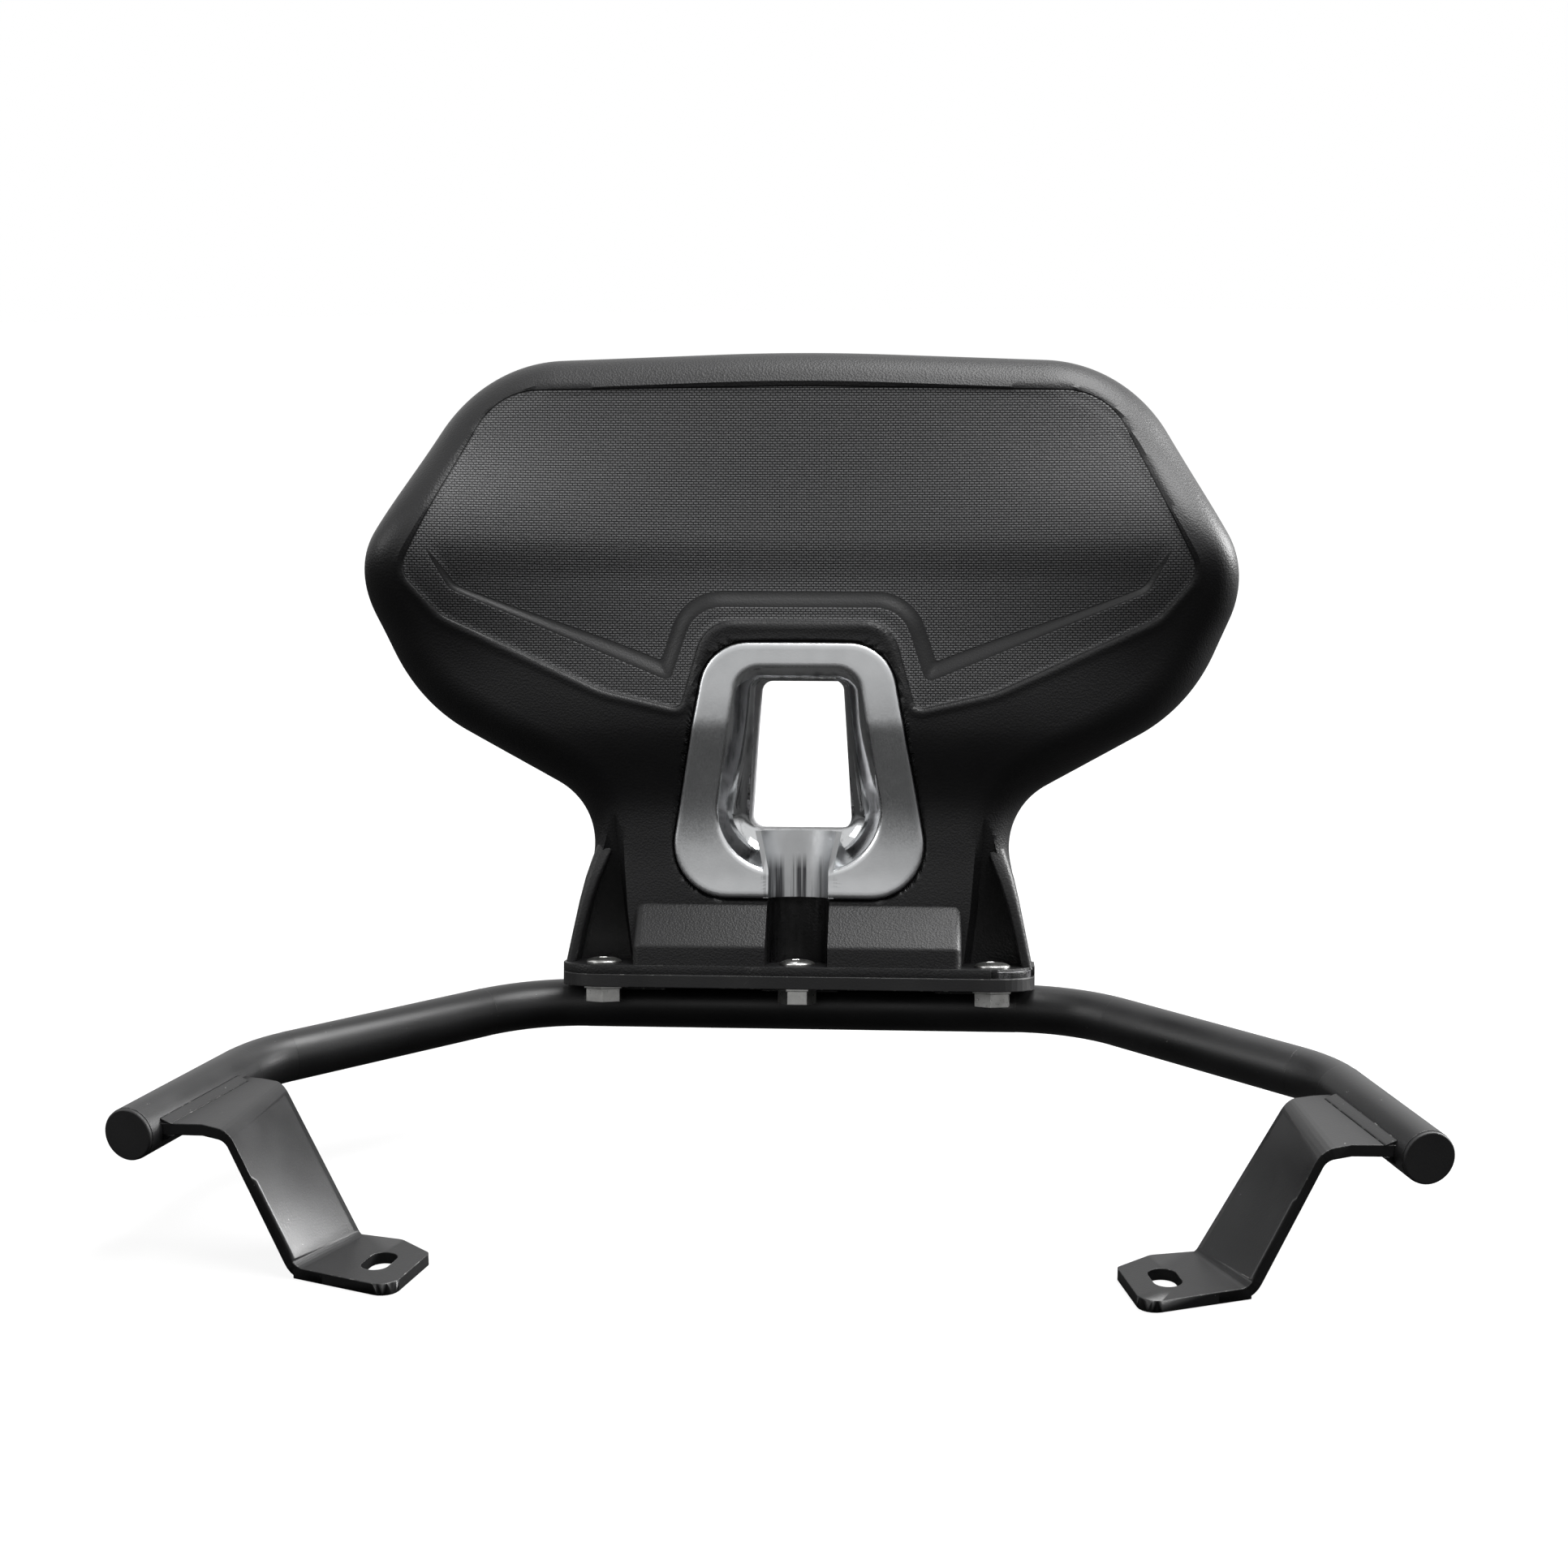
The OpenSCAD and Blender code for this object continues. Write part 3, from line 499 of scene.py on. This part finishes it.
def whole(half, radii, arc_n, side_n):
    """Outline from its right half, whose last point lies on the middle line."""
    return rounded(half + [(-x, z) for x, z in reversed(half[:-1])], radii + radii[-2::-1],
                   arc_n, side_n)


pad_line = whole(PAD_HALF, PAD_RADII, 40, 30)

# Border of the panel, outer edge of its bevel
BORDER_HALF = [(36, 151.5), (45.5, 117.5), (76, 124.5), (138, 153), (152.5, 170), (118, 240.5),
               (0, 242.5)]
BORDER_R = [14, 3.5, 40, 16, 9, 26, 900]
border_line = whole(BORDER_HALF, BORDER_R, 8, 6)
BEVEL_HALF = [(40, 157), (49.5, 128), (134, 163), (141, 176), (190, 290)]
BEVEL_R = [14, 3, 8, 30, 1]
bevel_line = rounded(mirrored(BEVEL_HALF), BEVEL_R + BEVEL_R[::-1], 8, 6)

# Bezel outlines
BASE = FLANGE_TOP + 25.8


def trapezoid(low, high, bottom, top):
    return [(-low, BASE + bottom), (low, BASE + bottom), (high, BASE + top), (-high, BASE + top)]


RIM_POINTS, RIM_RADII = trapezoid(53, 35.4, 0, 99.9), [21, 21, 19, 19]
EDGE_POINTS, EDGE_RADII = trapezoid(36.3, 23.2, 10.6, 89.8), [24, 24, 10, 10]
THROAT_POINTS, THROAT_RADII = trapezoid(20.5, 17.1, 26.7, 85.3), [5, 5, 4, 4]
BEZEL = [(0, -20.2), (10, -19.6), (26, -19.7), (38, -21.6), (63, -29.6), (69, -31), (100, -31)]


def bezel_y(z):
    return curve(BEZEL, np.asarray(z) - BASE)


def throat_y(z):
    return -8.6 - 0.195 * (np.asarray(z) - BASE - 26.7)


def inset(points, radii, d):
    p = np.array(points, float)
    n = len(p)
    out, rr = [], []
    for i in range(n):
        a = p[i] - p[i - 1]
        b = p[(i + 1) % n] - p[i]
        na = np.array([-a[1], a[0]]) / np.linalg.norm(a)
        nb = np.array([-b[1], b[0]]) / np.linalg.norm(b)
        out.append(p[i] + d * (na + nb) / (1 + na @ nb))
        convex = a[0] * b[1] - a[1] * b[0] > 0
        rr.append(max(radii[i] - d, 0.2) if convex else radii[i] + d)
    return out, rr


def inset_line(points, radii, d, arc_n=14, side_n=24):
    p, r = inset(points, radii, d)
    return rounded(p, r, arc_n, side_n)


bezel_line = inset_line(RIM_POINTS, RIM_RADII, 0)


# Depth of the pad's front below its plain form, the distances inside the border
# and inside the bevel, and the width of the bevel
def front_detail(x, z):
    border = inside_by(border_line, x, z)
    edge = inside_by(bevel_line, x, z)
    near_tip = 1 - smooth(np.abs(x), 55, 135)
    width = 2.6 + 3.6 * near_tip
    fade = 1 - smooth(z, 166, 184)
    step = 1.1 * smooth(border, -1.1, 1.1)
    dish = 1.9 * smooth(edge, 0, width) * fade * smooth(border, 0, 2)
    lip = 0.4 * np.exp(-((border + 1.8) / 1.6) ** 2)
    tuck = 2.5 * smooth(-inside_by(bezel_line, x, z), 1.6, 0.0) ** 2
    return step + dish - lip + tuck, border, edge, width * fade


def pad_main():
    n, roll_n, front_n, rear_n = 520, 12, 84, 26
    base, inward = even(pad_line, n)
    middle = np.array([0, FLANGE_TOP + 82])
    rows = []

    def ring(d):
        return base + inward * d

    def add(line, y):
        rows.append(np.column_stack([line[:, 0], y, line[:, 1]]))

    rolled = ring(RIM_ROLL)
    for k in range(rear_n, 0, -1):
        t = k / (rear_n + 1)
        line = rolled + (middle - rolled) * t
        z = line[:, 1] if k < rear_n else np.full(n, middle[1])
        swell = t * t * (3 - 2 * t)
        x = line[:, 0] if k < rear_n else np.zeros(n)
        add(line, face_y(x, z) + rim_at(z) + (core_at(z) - rim_at(z)) * swell)
    for k in range(roll_n, 0, -1):
        a = math.pi / 2 * k / roll_n
        line = ring(RIM_ROLL * (1 - math.cos(a)))
        add(line, face_y(line[:, 0], line[:, 1]) + rim_at(line[:, 1]) / 2 * (1 + math.sin(a)))
    for k in range(roll_n + 1):
        a = math.pi / 2 * k / roll_n
        line = ring(RIM_ROLL * (1 - math.cos(a)))
        detail = front_detail(line[:, 0], line[:, 1])[0] * smooth(math.sin(a), 0.8, 1.0)
        add(line, face_y(line[:, 0], line[:, 1]) + rim_at(line[:, 1]) / 2 * (1 - math.sin(a))
            + detail)
    for k in range(1, front_n + 1):
        t = 0.9 * k / front_n
        line = rolled + (middle - rolled) * t
        x, z = (line[:, 0], line[:, 1]) if k < front_n else (np.zeros(n), np.full(n, middle[1]))
        add(line, face_y(x, z) + (front_detail(x, z)[0] if k < front_n else 0))
    pts = np.vstack(rows)
    faces = [f[::-1] for f in ring_faces(len(rows), n)]
    last = (len(rows) - 1) * n
    faces += [tuple(range(n)), tuple(last + i for i in range(n))[::-1]]
    return make("pad_main", on_tube(pts), faces, SKIN)


def loft(name, rings, mat, loop=False):
    """Skin over rings, each of points or of an outline in x and z with its depths."""
    pts = np.vstack([np.column_stack([r[0][:, 0], r[1], r[0][:, 1]]) if isinstance(r, tuple) else r
                     for r in rings])
    n = len(pts) // len(rings)
    faces = [f[::-1] for f in ring_faces(len(rings), n, loop)]
    if not loop:
        m = len(rings)
        faces += [tuple(range(n)), tuple((m - 1) * n + i for i in range(n))[::-1]]
    return make(name, on_tube(pts), faces, mat)


def turned(obj):
    """Faces outwards, whichever way the rings ran."""
    bm = bmesh.new()
    bm.from_mesh(obj.data)
    bmesh.ops.recalc_face_normals(bm, faces=bm.faces)
    bm.to_mesh(obj.data)
    bm.free()
    return obj


def bed_cutter():
    out = inset_line(RIM_POINTS, RIM_RADII, -0.5)
    step = inset_line(EDGE_POINTS, EDGE_RADII, -4)
    tunnel = inset_line(THROAT_POINTS, THROAT_RADII, -2.4)
    bed = 4.9
    half = (step + tunnel) / 2
    return turned(loft("bed", [
        (tunnel, throat_y(tunnel[:, 1]) + 0.4), (half, throat_y(half[:, 1]) - 1),
        (step, bezel_y(step[:, 1]) + bed), (out, bezel_y(out[:, 1]) + bed),
        (out, np.full(len(out), -60.0))], None))


def tunnel_cutter():
    line = inset_line(THROAT_POINTS, THROAT_RADII, -2.1)
    return turned(loft("tunnel", [(line, np.full(len(line), 90.0)),
                                  (line, throat_y(line[:, 1]) - 2)], None))


# A wedge that is deepest at the flange and fades out up the neck
def niche_cutter(side):
    low, high = LEDGE_HALF + 0.5, RIB_X + 0.5
    rings = []
    for h, inner, x1, back in ((-1, 0, high + 0.2, -4), (0, 0, high, -4), (20, 2.5, 83.6, -7),
                               (40, 4, 79.6, -12.5), (58, 5, 77.4, -18.2), (70, 5.5, 77, -22)):
        x0 = low + inner
        line = [(x0, -50), (x1, -50), (x1 - 0.3, back - 1.5), (x1 - 2.5, back), (x0 + 2.8, back),
                (x0, back - 2.5)]
        rings.append(np.array([(side * x, y, FLANGE_TOP + h) for x, y in line]))
    return turned(loft("niche", rings, None))


def trough_cutter(r, y, low, high, flare=0.0):
    """A half round channel, open to the front, whose top may flare."""
    ang = np.linspace(-math.pi / 2, math.pi / 2, 33)
    rings = []
    for z, wide in ((low, 0.0), (high - 15.5, 0.0), (high - 9, 0.35), (high, 1.0)):
        rr = r + flare * wide
        line = [(-rr * math.sin(a), y - flare * wide + rr * math.cos(a)) for a in ang]
        line += [(-rr, y - 40), (rr, y - 40)]
        rings.append(np.array([(px, py, z) for px, py in line]))
    return turned(loft("trough", rings, None))


def flange_points(d=0.0):
    half, front, back = PLATE_HALF, PLATE_FRONT, PLATE_BACK
    dips = [(-60, 0), (-52, 2.5), (-20, 2.5), (-13, 0), (13, 0), (20, 2.5), (52, 2.5), (60, 0)]
    pts = [(-half, front)] + [(x, front + y) for x, y in dips] + [(half, front), (half, back),
                                                                 (-half, back)]
    radii = [PLATE_CORNER_R] + [DIP_R] * 8 + [PLATE_CORNER_R, BACK_CORNER_R, BACK_CORNER_R]
    return inset_line(pts, radii, d, 8, 6)


def build_ledge():
    """The step between the ribs, its ends rounded, with the key's channel through it."""
    profile = [(0, -2.5), (0, 29), (-19.3, 23.6), (-30.5, 7.5), (-30.5, -2.5)]
    rings = []
    for side in (-1, 1):
        for k in range(7):
            a = math.pi / 2 * (k if side < 0 else 6 - k) / 6
            line = inset_line(profile, [0.5, 4, 6, 3, 0.5],
                              LEDGE_END_R * (1 - math.sin(a)) + 0.01, 6, 4)
            x = side * (LEDGE_HALF - LEDGE_END_R * (1 - math.cos(a)))
            rings.append(np.column_stack([np.full(len(line), x), line[:, 0],
                                          line[:, 1] + FLANGE_TOP]))
    shelf = turned(loft("shelf", rings, None))
    cut(shelf, [trough_cutter(CHANNEL_R, SCREW_Y + 2, FLANGE_TOP - 3, FLANGE_TOP + 45)])
    return shelf


# Sections of the side ribs: height over the flange, outer side, width, front
RIB_SECTIONS = [(-1, 91.6, 4.2, -19.6), (12, 88.9, 4.4, -19.6), (24, 86.4, 5.0, -19.1),
                (33, 84.3, 6.0, -17.8), (41, 81.9, 7.0, -15.4), (48, 79.4, 8.0, -12.4),
                (56, 76.6, 8.4, -9.0), (66, 71.0, 8.2, -4.0)]


def build_rib(side):
    rings = []
    for h, x1, t, y0 in RIB_SECTIONS:
        box = rounded([(x1 - t, y0), (x1, y0), (x1, RIB_BACK), (x1 - t, RIB_BACK)],
                      [min(2.2, t / 2.6), min(3.4, t / 2.2), 1.4, 1.0], 6, 2)
        rings.append(np.column_stack([side * box[:, 0], box[:, 1],
                                      np.full(len(box), FLANGE_TOP + h)]))
    return turned(loft("rib", rings, None))


def build_pad():
    body = turned(pad_main())
    below = [(-200, -90), (200, -90), (200, 90), (-200, 90)]
    cut(body, [turned(prism("below", below, -60, FLANGE_TOP - 0.3)), bed_cutter(),
               tunnel_cutter(), niche_cutter(1), niche_cutter(-1),
               trough_cutter(TROUGH_BED_R, TROUGH_Y, BASE - 0.4, BASE + 27, TROUGH_FLARE),
               trough_cutter(CHANNEL_R, SCREW_Y + 2, FLANGE_TOP - 2, BASE + 3)])
    flange = turned(prism("flange", flange_points(), PLATE_TOP, FLANGE_TOP))
    shelf = build_ledge()
    chip = [(74, -60), (110, -60), (110, -14), (91, -15.5), (75.5, -31)]
    torn = [(76, -34), (96, -34), (96, -15), (91, -18), (88.5, -23), (84, -27.5), (79, -30.6)]
    cut(flange, [turned(prism("torn", torn, 17.0, 19))])
    outer = turned(prism("chip", chip, 13, 19))
    cut(outer, [turned(prism("core", flange_points(1.5), 10, 22))])
    cut(flange, [outer])
    bevel(flange, 0.9)
    ribs = [shelf, build_rib(-1), build_rib(1)]
    for piece in [flange] + ribs:
        only_material(piece, SKIN)
        smooth_shade(piece, 50)
    return body, [flange] + ribs


def paint(obj, names_values):
    """Values at a piece's points, for its material to read."""
    for name, values in names_values.items():
        a = obj.data.attributes.new(name, "FLOAT", "POINT")
        a.data.foreach_set("value", np.asarray(values, np.float32))


def local(obj):
    """Vertices of a piece in the base plate frame, in millimetres."""
    co = np.empty(len(obj.data.vertices) * 3)
    obj.data.vertices.foreach_get("co", co)
    p = co.reshape(-1, 3) / MM
    c, s = math.cos(math.radians(TILT)), math.sin(math.radians(TILT))
    y, z = p[:, 1] - TUBE_Y, p[:, 2] - TUBE_Z
    return np.column_stack([p[:, 0], c * y - s * z, s * y + c * z])


body, extras = build_pad()
for piece in [body] + extras:
    weld_flaps(piece)
    p = local(piece)
    _, border, edge, band = front_detail(p[:, 0], p[:, 2])
    front = p[:, 1] < face_y(p[:, 0], p[:, 2]) + 6
    paint(piece, {"border": np.where(front, border, OUTSIDE_PANEL), "edge": edge, "band": band})
smooth_shade(body, 38)
body.name = "pad_cushion"
trim = join("pad_foot", extras)
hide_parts("pad")
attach(body, "root")
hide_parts("pad_flange", "pad")
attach(trim, "root")


# Bezel: satin face, polished funnel
def build_bezel():
    t = BEZEL_T

    def outer(d):
        return inset_line(RIM_POINTS, RIM_RADII, d)

    def edge(d):
        return inset_line(EDGE_POINTS, EDGE_RADII, d)

    def throat(d):
        return inset_line(THROAT_POINTS, THROAT_RADII, d)

    rings = []
    polish = []

    def add(line, y, shine=0.0):
        rings.append((line, y))
        polish.append(np.full(len(line), shine))

    add(outer(0), bezel_y(outer(0)[:, 1]) + 4.5)
    for d, rise in ((0, 1.6), (0.15, 0.9), (0.5, 0.4), (1.0, 0.12), (1.8, 0.0), (3, 0.0)):
        add(outer(d), bezel_y(outer(d)[:, 1]) + rise)
    for f in (0.25, 0.5, 0.75):
        line = outer(3) * (1 - f) + edge(-2.2) * f
        add(line, bezel_y(line[:, 1]))
    for d, rise in ((-2.2, 0.0), (-1.4, 0.02), (-0.9, 0.16)):
        add(edge(d), bezel_y(edge(d)[:, 1]) + rise)
    for k in range(24):
        f = k / 24
        sink = 1 - (1 - f) ** 2
        line = edge(0) * (1 - f) + throat(0) * f
        y = (bezel_y(edge(0)[:, 1]) + 0.6) * (1 - sink) + throat_y(throat(0)[:, 1]) * sink
        add(line, y, 1.0)
    add(throat(0), throat_y(throat(0)[:, 1]), 1.0)
    add(throat(-t), throat_y(throat(-t)[:, 1]), 1.0)
    for k in range(4, -1, -1):
        f = k / 5
        sink = 1 - (1 - f) ** 2
        line = edge(-t) * (1 - f) + throat(-t) * f
        add(line, (bezel_y(edge(-t)[:, 1]) + t) * (1 - sink) + throat_y(throat(-t)[:, 1]) * sink)
    add(edge(-t - 1.5), bezel_y(edge(-t - 1.5)[:, 1]) + t)
    add(outer(t), bezel_y(outer(t)[:, 1]) + t + 0.6)
    add(outer(t), bezel_y(outer(t)[:, 1]) + 4.5)
    obj = turned(loft("bezel_trim", rings, CHROME, loop=True))
    paint(obj, {"polish": np.concatenate(polish)})
    r = CHANNEL_R - 0.4
    shell = trough_cutter(r + t, TROUGH_Y, BASE + 0.05, BASE + 26.4, TROUGH_FLARE)
    keep = turned(prism("keep", [(-40, -19.5), (40, -19.5), (40, 60), (-40, 60)], BASE - 5,
                        BASE + 40))
    cut(shell, [keep], "INTERSECT")
    only_material(shell, CHROME)
    paint(shell, {"polish": np.full(len(shell.data.vertices), 0.6)})
    cut(obj, [shell], "UNION")
    cut(obj, [trough_cutter(r, TROUGH_Y, BASE - 20, BASE + 26.6, TROUGH_FLARE)])
    # The lower trough, where the painted reflection stripes and the fine facets go
    p = local(obj)
    low = (np.abs(p[:, 0]) < CHANNEL_R) & (p[:, 2] < BASE + 15) & (p[:, 1] > -20.4)
    paint(obj, {"stripe_zone": np.where(low, 1.0, 0.0)})
    smooth_shade(obj, 35)
    return obj


bezel = build_bezel()
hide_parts("bezel")
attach(bezel, "root")


# Low button screws with a hex socket
def build_screw(name, x):
    profile = [(0, -SHANK_L), (SHANK_R - 0.5, -SHANK_L), (SHANK_R, 0.5 - SHANK_L),
               (SHANK_R, -0.5), (6.6, -0.5), (SCREW_HEAD_R, 0.1), (SCREW_HEAD_R, 0.7),
               (6.5, 1.1), (5.6, 1.5), (4.4, 1.9), (3.6, 2.0), (0, 2.0)]
    n = 48
    ang = np.linspace(0, 2 * math.pi, n, endpoint=False)
    rings = []
    for r, h in profile:
        r = max(r, 0.01)
        rings.append(np.column_stack([x + r * np.cos(ang), SCREW_Y + r * np.sin(ang),
                                      np.full(n, FLANGE_TOP + h)]))
    obj = turned(loft(name, rings, ZINC))
    hexagon = [(x + SOCKET_R * math.cos(a), SCREW_Y + SOCKET_R * math.sin(a))
               for a in np.radians(np.arange(0, 360, 60) + 17)]
    cut(obj, [turned(prism("socket", hexagon, FLANGE_TOP - 1.2, FLANGE_TOP + 9))])
    only_material(obj, ZINC)
    smooth_shade(obj, 40)
    return obj


for side, x in (("left", -SCREW_PITCH), ("centre", 0.0), ("right", SCREW_PITCH)):
    screw = build_screw("screw_piece_" + side, x)
    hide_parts("screw_" + side)
    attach(screw, "root")


# Brackets: the arm's twisted faces are divided finely, so that they shade as one sweep
def build_bracket(side):
    obj = bpy.data.objects.new("bracket_piece_" + side, nodes["bracket_" + side].data.copy())
    bpy.context.scene.collection.objects.link(obj)
    bm = bmesh.new()
    bm.from_mesh(obj.data)
    bmesh.ops.remove_doubles(bm, verts=bm.verts, dist=MERGE)
    halves = [e for e in bm.edges if min(f.calc_area() for f in e.link_faces) > ARM_FACE_AREA]
    arms = [set(v for f in e.link_faces for v in f.verts) for e in halves]
    bmesh.ops.dissolve_edges(bm, edges=halves)
    quads = [f for f in bm.faces if set(f.verts) in arms]
    rims = list({e for f in quads for e in f.edges})
    bmesh.ops.subdivide_edges(bm, edges=rims, cuts=ARM_CUTS, use_grid_fill=True)
    bm.to_mesh(obj.data)
    bm.free()
    only_material(obj, COAT)
    smooth_shade(obj, 32)
    weighted = obj.modifiers.new("weighted", "WEIGHTED_NORMAL")
    weighted.weight = 100
    weighted.keep_sharp = True
    apply_modifiers(obj)
    return obj


for side in ("left", "right"):
    bracket = build_bracket(side)
    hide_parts("bracket_" + side)
    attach(bracket, "root")

# CAD nodes that stay take their finish here
finish_of = {"tube": COAT, "base_plate": COAT, "end_cap_left": CAP, "end_cap_right": CAP,
             "foot_plate": STEEL, "upright": STEEL, "weld_upright": STEEL, "tunnel_liner": LINER,
             "weld_bracket_left": COAT_WELD, "weld_bracket_right": COAT_WELD,
             "weld_plate_front": COAT_WELD, "weld_plate_rear": COAT_WELD,
             "nut_left": ZINC, "nut_centre": ZINC, "nut_right": ZINC}
for name, mat in finish_of.items():
    for slot in nodes[name].material_slots:
        slot.material = mat

# Floor and backdrop: white to the camera, with the object's own shadow
floor_mat = bpy.data.materials.new("floor")
floor_mat.use_nodes = True
tree = floor_mat.node_tree
tree.nodes.clear()
g = Graph(tree)
path = g.node("ShaderNodeLightPath").outputs
grey = g.blend(path["Is Camera Ray"], (0.03, 0.03, 0.03), (0.13, 0.13, 0.13))
diffuse = g.node("ShaderNodeBsdfDiffuse", {"Color": grey})
at = g.node("ShaderNodeSeparateXYZ", {0: g.coords()}).outputs
off = g.node("ShaderNodeVectorMath", {0: g.coords()}, operation="LENGTH").outputs["Value"]
seen = g.math("MULTIPLY", path["Is Camera Ray"], g.span(off, 0.45, 1.1, 0.90, 1.0))
mirror = g.math("MULTIPLY", path["Is Glossy Ray"], g.span(at["Y"], -0.4, -1.1, 0.0, 0.16))
strength = g.math("ADD", seen, mirror)
glow = g.node("ShaderNodeEmission", {"Color": (1, 1, 1, 1), "Strength": strength})
both = g.node("ShaderNodeAddShader", {0: diffuse.outputs[0], 1: glow.outputs[0]})
g.node("ShaderNodeOutputMaterial", {0: both.outputs[0]})
bpy.ops.mesh.primitive_circle_add(vertices=96, radius=6, fill_type="NGON",
                                  location=(0, 0, -0.0004))
floor = bpy.context.active_object
floor.name = "floor"
floor.data.materials.append(floor_mat)

world = bpy.data.worlds.new("studio")
bpy.context.scene.world = world
world.use_nodes = True
tree = world.node_tree
tree.nodes.clear()
g = Graph(tree)
path = g.node("ShaderNodeLightPath").outputs
seen = g.math("MAXIMUM", path["Is Camera Ray"], path["Is Transmission Ray"])
# Reflections see the white backdrop behind the object and a darker room in front of it
ray = g.node("ShaderNodeSeparateXYZ", {0: g.coords_generated()}).outputs
behind = g.span(ray["Y"], -0.3, 0.4, 0.0, 1.0, "SMOOTHSTEP")
sideways = g.math("MAXIMUM", g.span(ray["X"], 0.2, 0.8, 0.0, 0.9, "SMOOTHSTEP"),
                  g.span(ray["X"], -0.2, -0.8, 0.0, 0.6, "SMOOTHSTEP"))
sideways = g.math("MULTIPLY", sideways, g.span(ray["Z"], 0.0, 0.25))
above = g.span(ray["Z"], 0.45, 0.95, 0.0, 0.8, "SMOOTHSTEP")
front = g.span(ray["Z"], 0.06, 0.27, 0.1, 0.85, "SMOOTHSTEP")
room = g.math("MAXIMUM", g.math("MAXIMUM", behind, above), g.math("MAXIMUM", front, sideways))
glossy = g.math("MULTIPLY", path["Is Glossy Ray"], room)
plain = g.math("MULTIPLY", g.math("SUBTRACT", 1.0, path["Is Glossy Ray"]), 0.06)
level = g.math("MAXIMUM", seen, g.math("ADD", glossy, plain))
back = g.node("ShaderNodeBackground", {"Color": (1, 1, 1, 1), "Strength": level})
g.node("ShaderNodeOutputWorld", {0: back.outputs[0]})


def softbox(name, at, target, size, power):
    lamp = bpy.data.lights.new(name, "AREA")
    lamp.shape = "RECTANGLE"
    lamp.size, lamp.size_y = size
    lamp.energy = power
    obj = bpy.data.objects.new(name, lamp)
    bpy.context.scene.collection.objects.link(obj)
    obj.location = at
    obj.rotation_euler = (Vector(target) - Vector(at)).to_track_quat("-Z", "Y").to_euler()


softbox("key", (0.45, 0.15, 1.5), (0, 0.17, 0.2), (1.3, 0.8), 46)
softbox("side", (1.35, 0.62, 0.7), (0, 0.17, 0.2), (0.5, 0.9), 58)
softbox("fill", (-1.3, -0.5, 0.9), (0, 0.17, 0.15), (0.7, 0.7), 8)

# Camera at the photograph's viewing angle
CAMERA_AT = (0.0765, -0.9257, 0.381)
LENS, SENSOR = 65.98, 36
yaw, pitch, roll = (math.radians(a) for a in (4.31, 12.5, -0.43))
sy, cy, sp, cp = math.sin(yaw), math.cos(yaw), math.sin(pitch), math.cos(pitch)
ahead = Vector((-sy * cp, cy * cp, -sp))
level = Vector((cy, sy, 0))
over = level.cross(ahead)
right = math.cos(roll) * level + math.sin(roll) * over
up = -math.sin(roll) * level + math.cos(roll) * over
cam = bpy.data.cameras.new("camera")
cam.lens = LENS
cam.sensor_width = SENSOR
cam.clip_start = 0.05
cam_obj = bpy.data.objects.new("camera", cam)
bpy.context.scene.collection.objects.link(cam_obj)
cam_obj.matrix_world = Matrix((
    (right.x, up.x, -ahead.x, CAMERA_AT[0]), (right.y, up.y, -ahead.y, CAMERA_AT[1]),
    (right.z, up.z, -ahead.z, CAMERA_AT[2]), (0, 0, 0, 1)))
bpy.context.scene.camera = cam_obj
bpy.context.scene.view_settings.view_transform = "Standard"
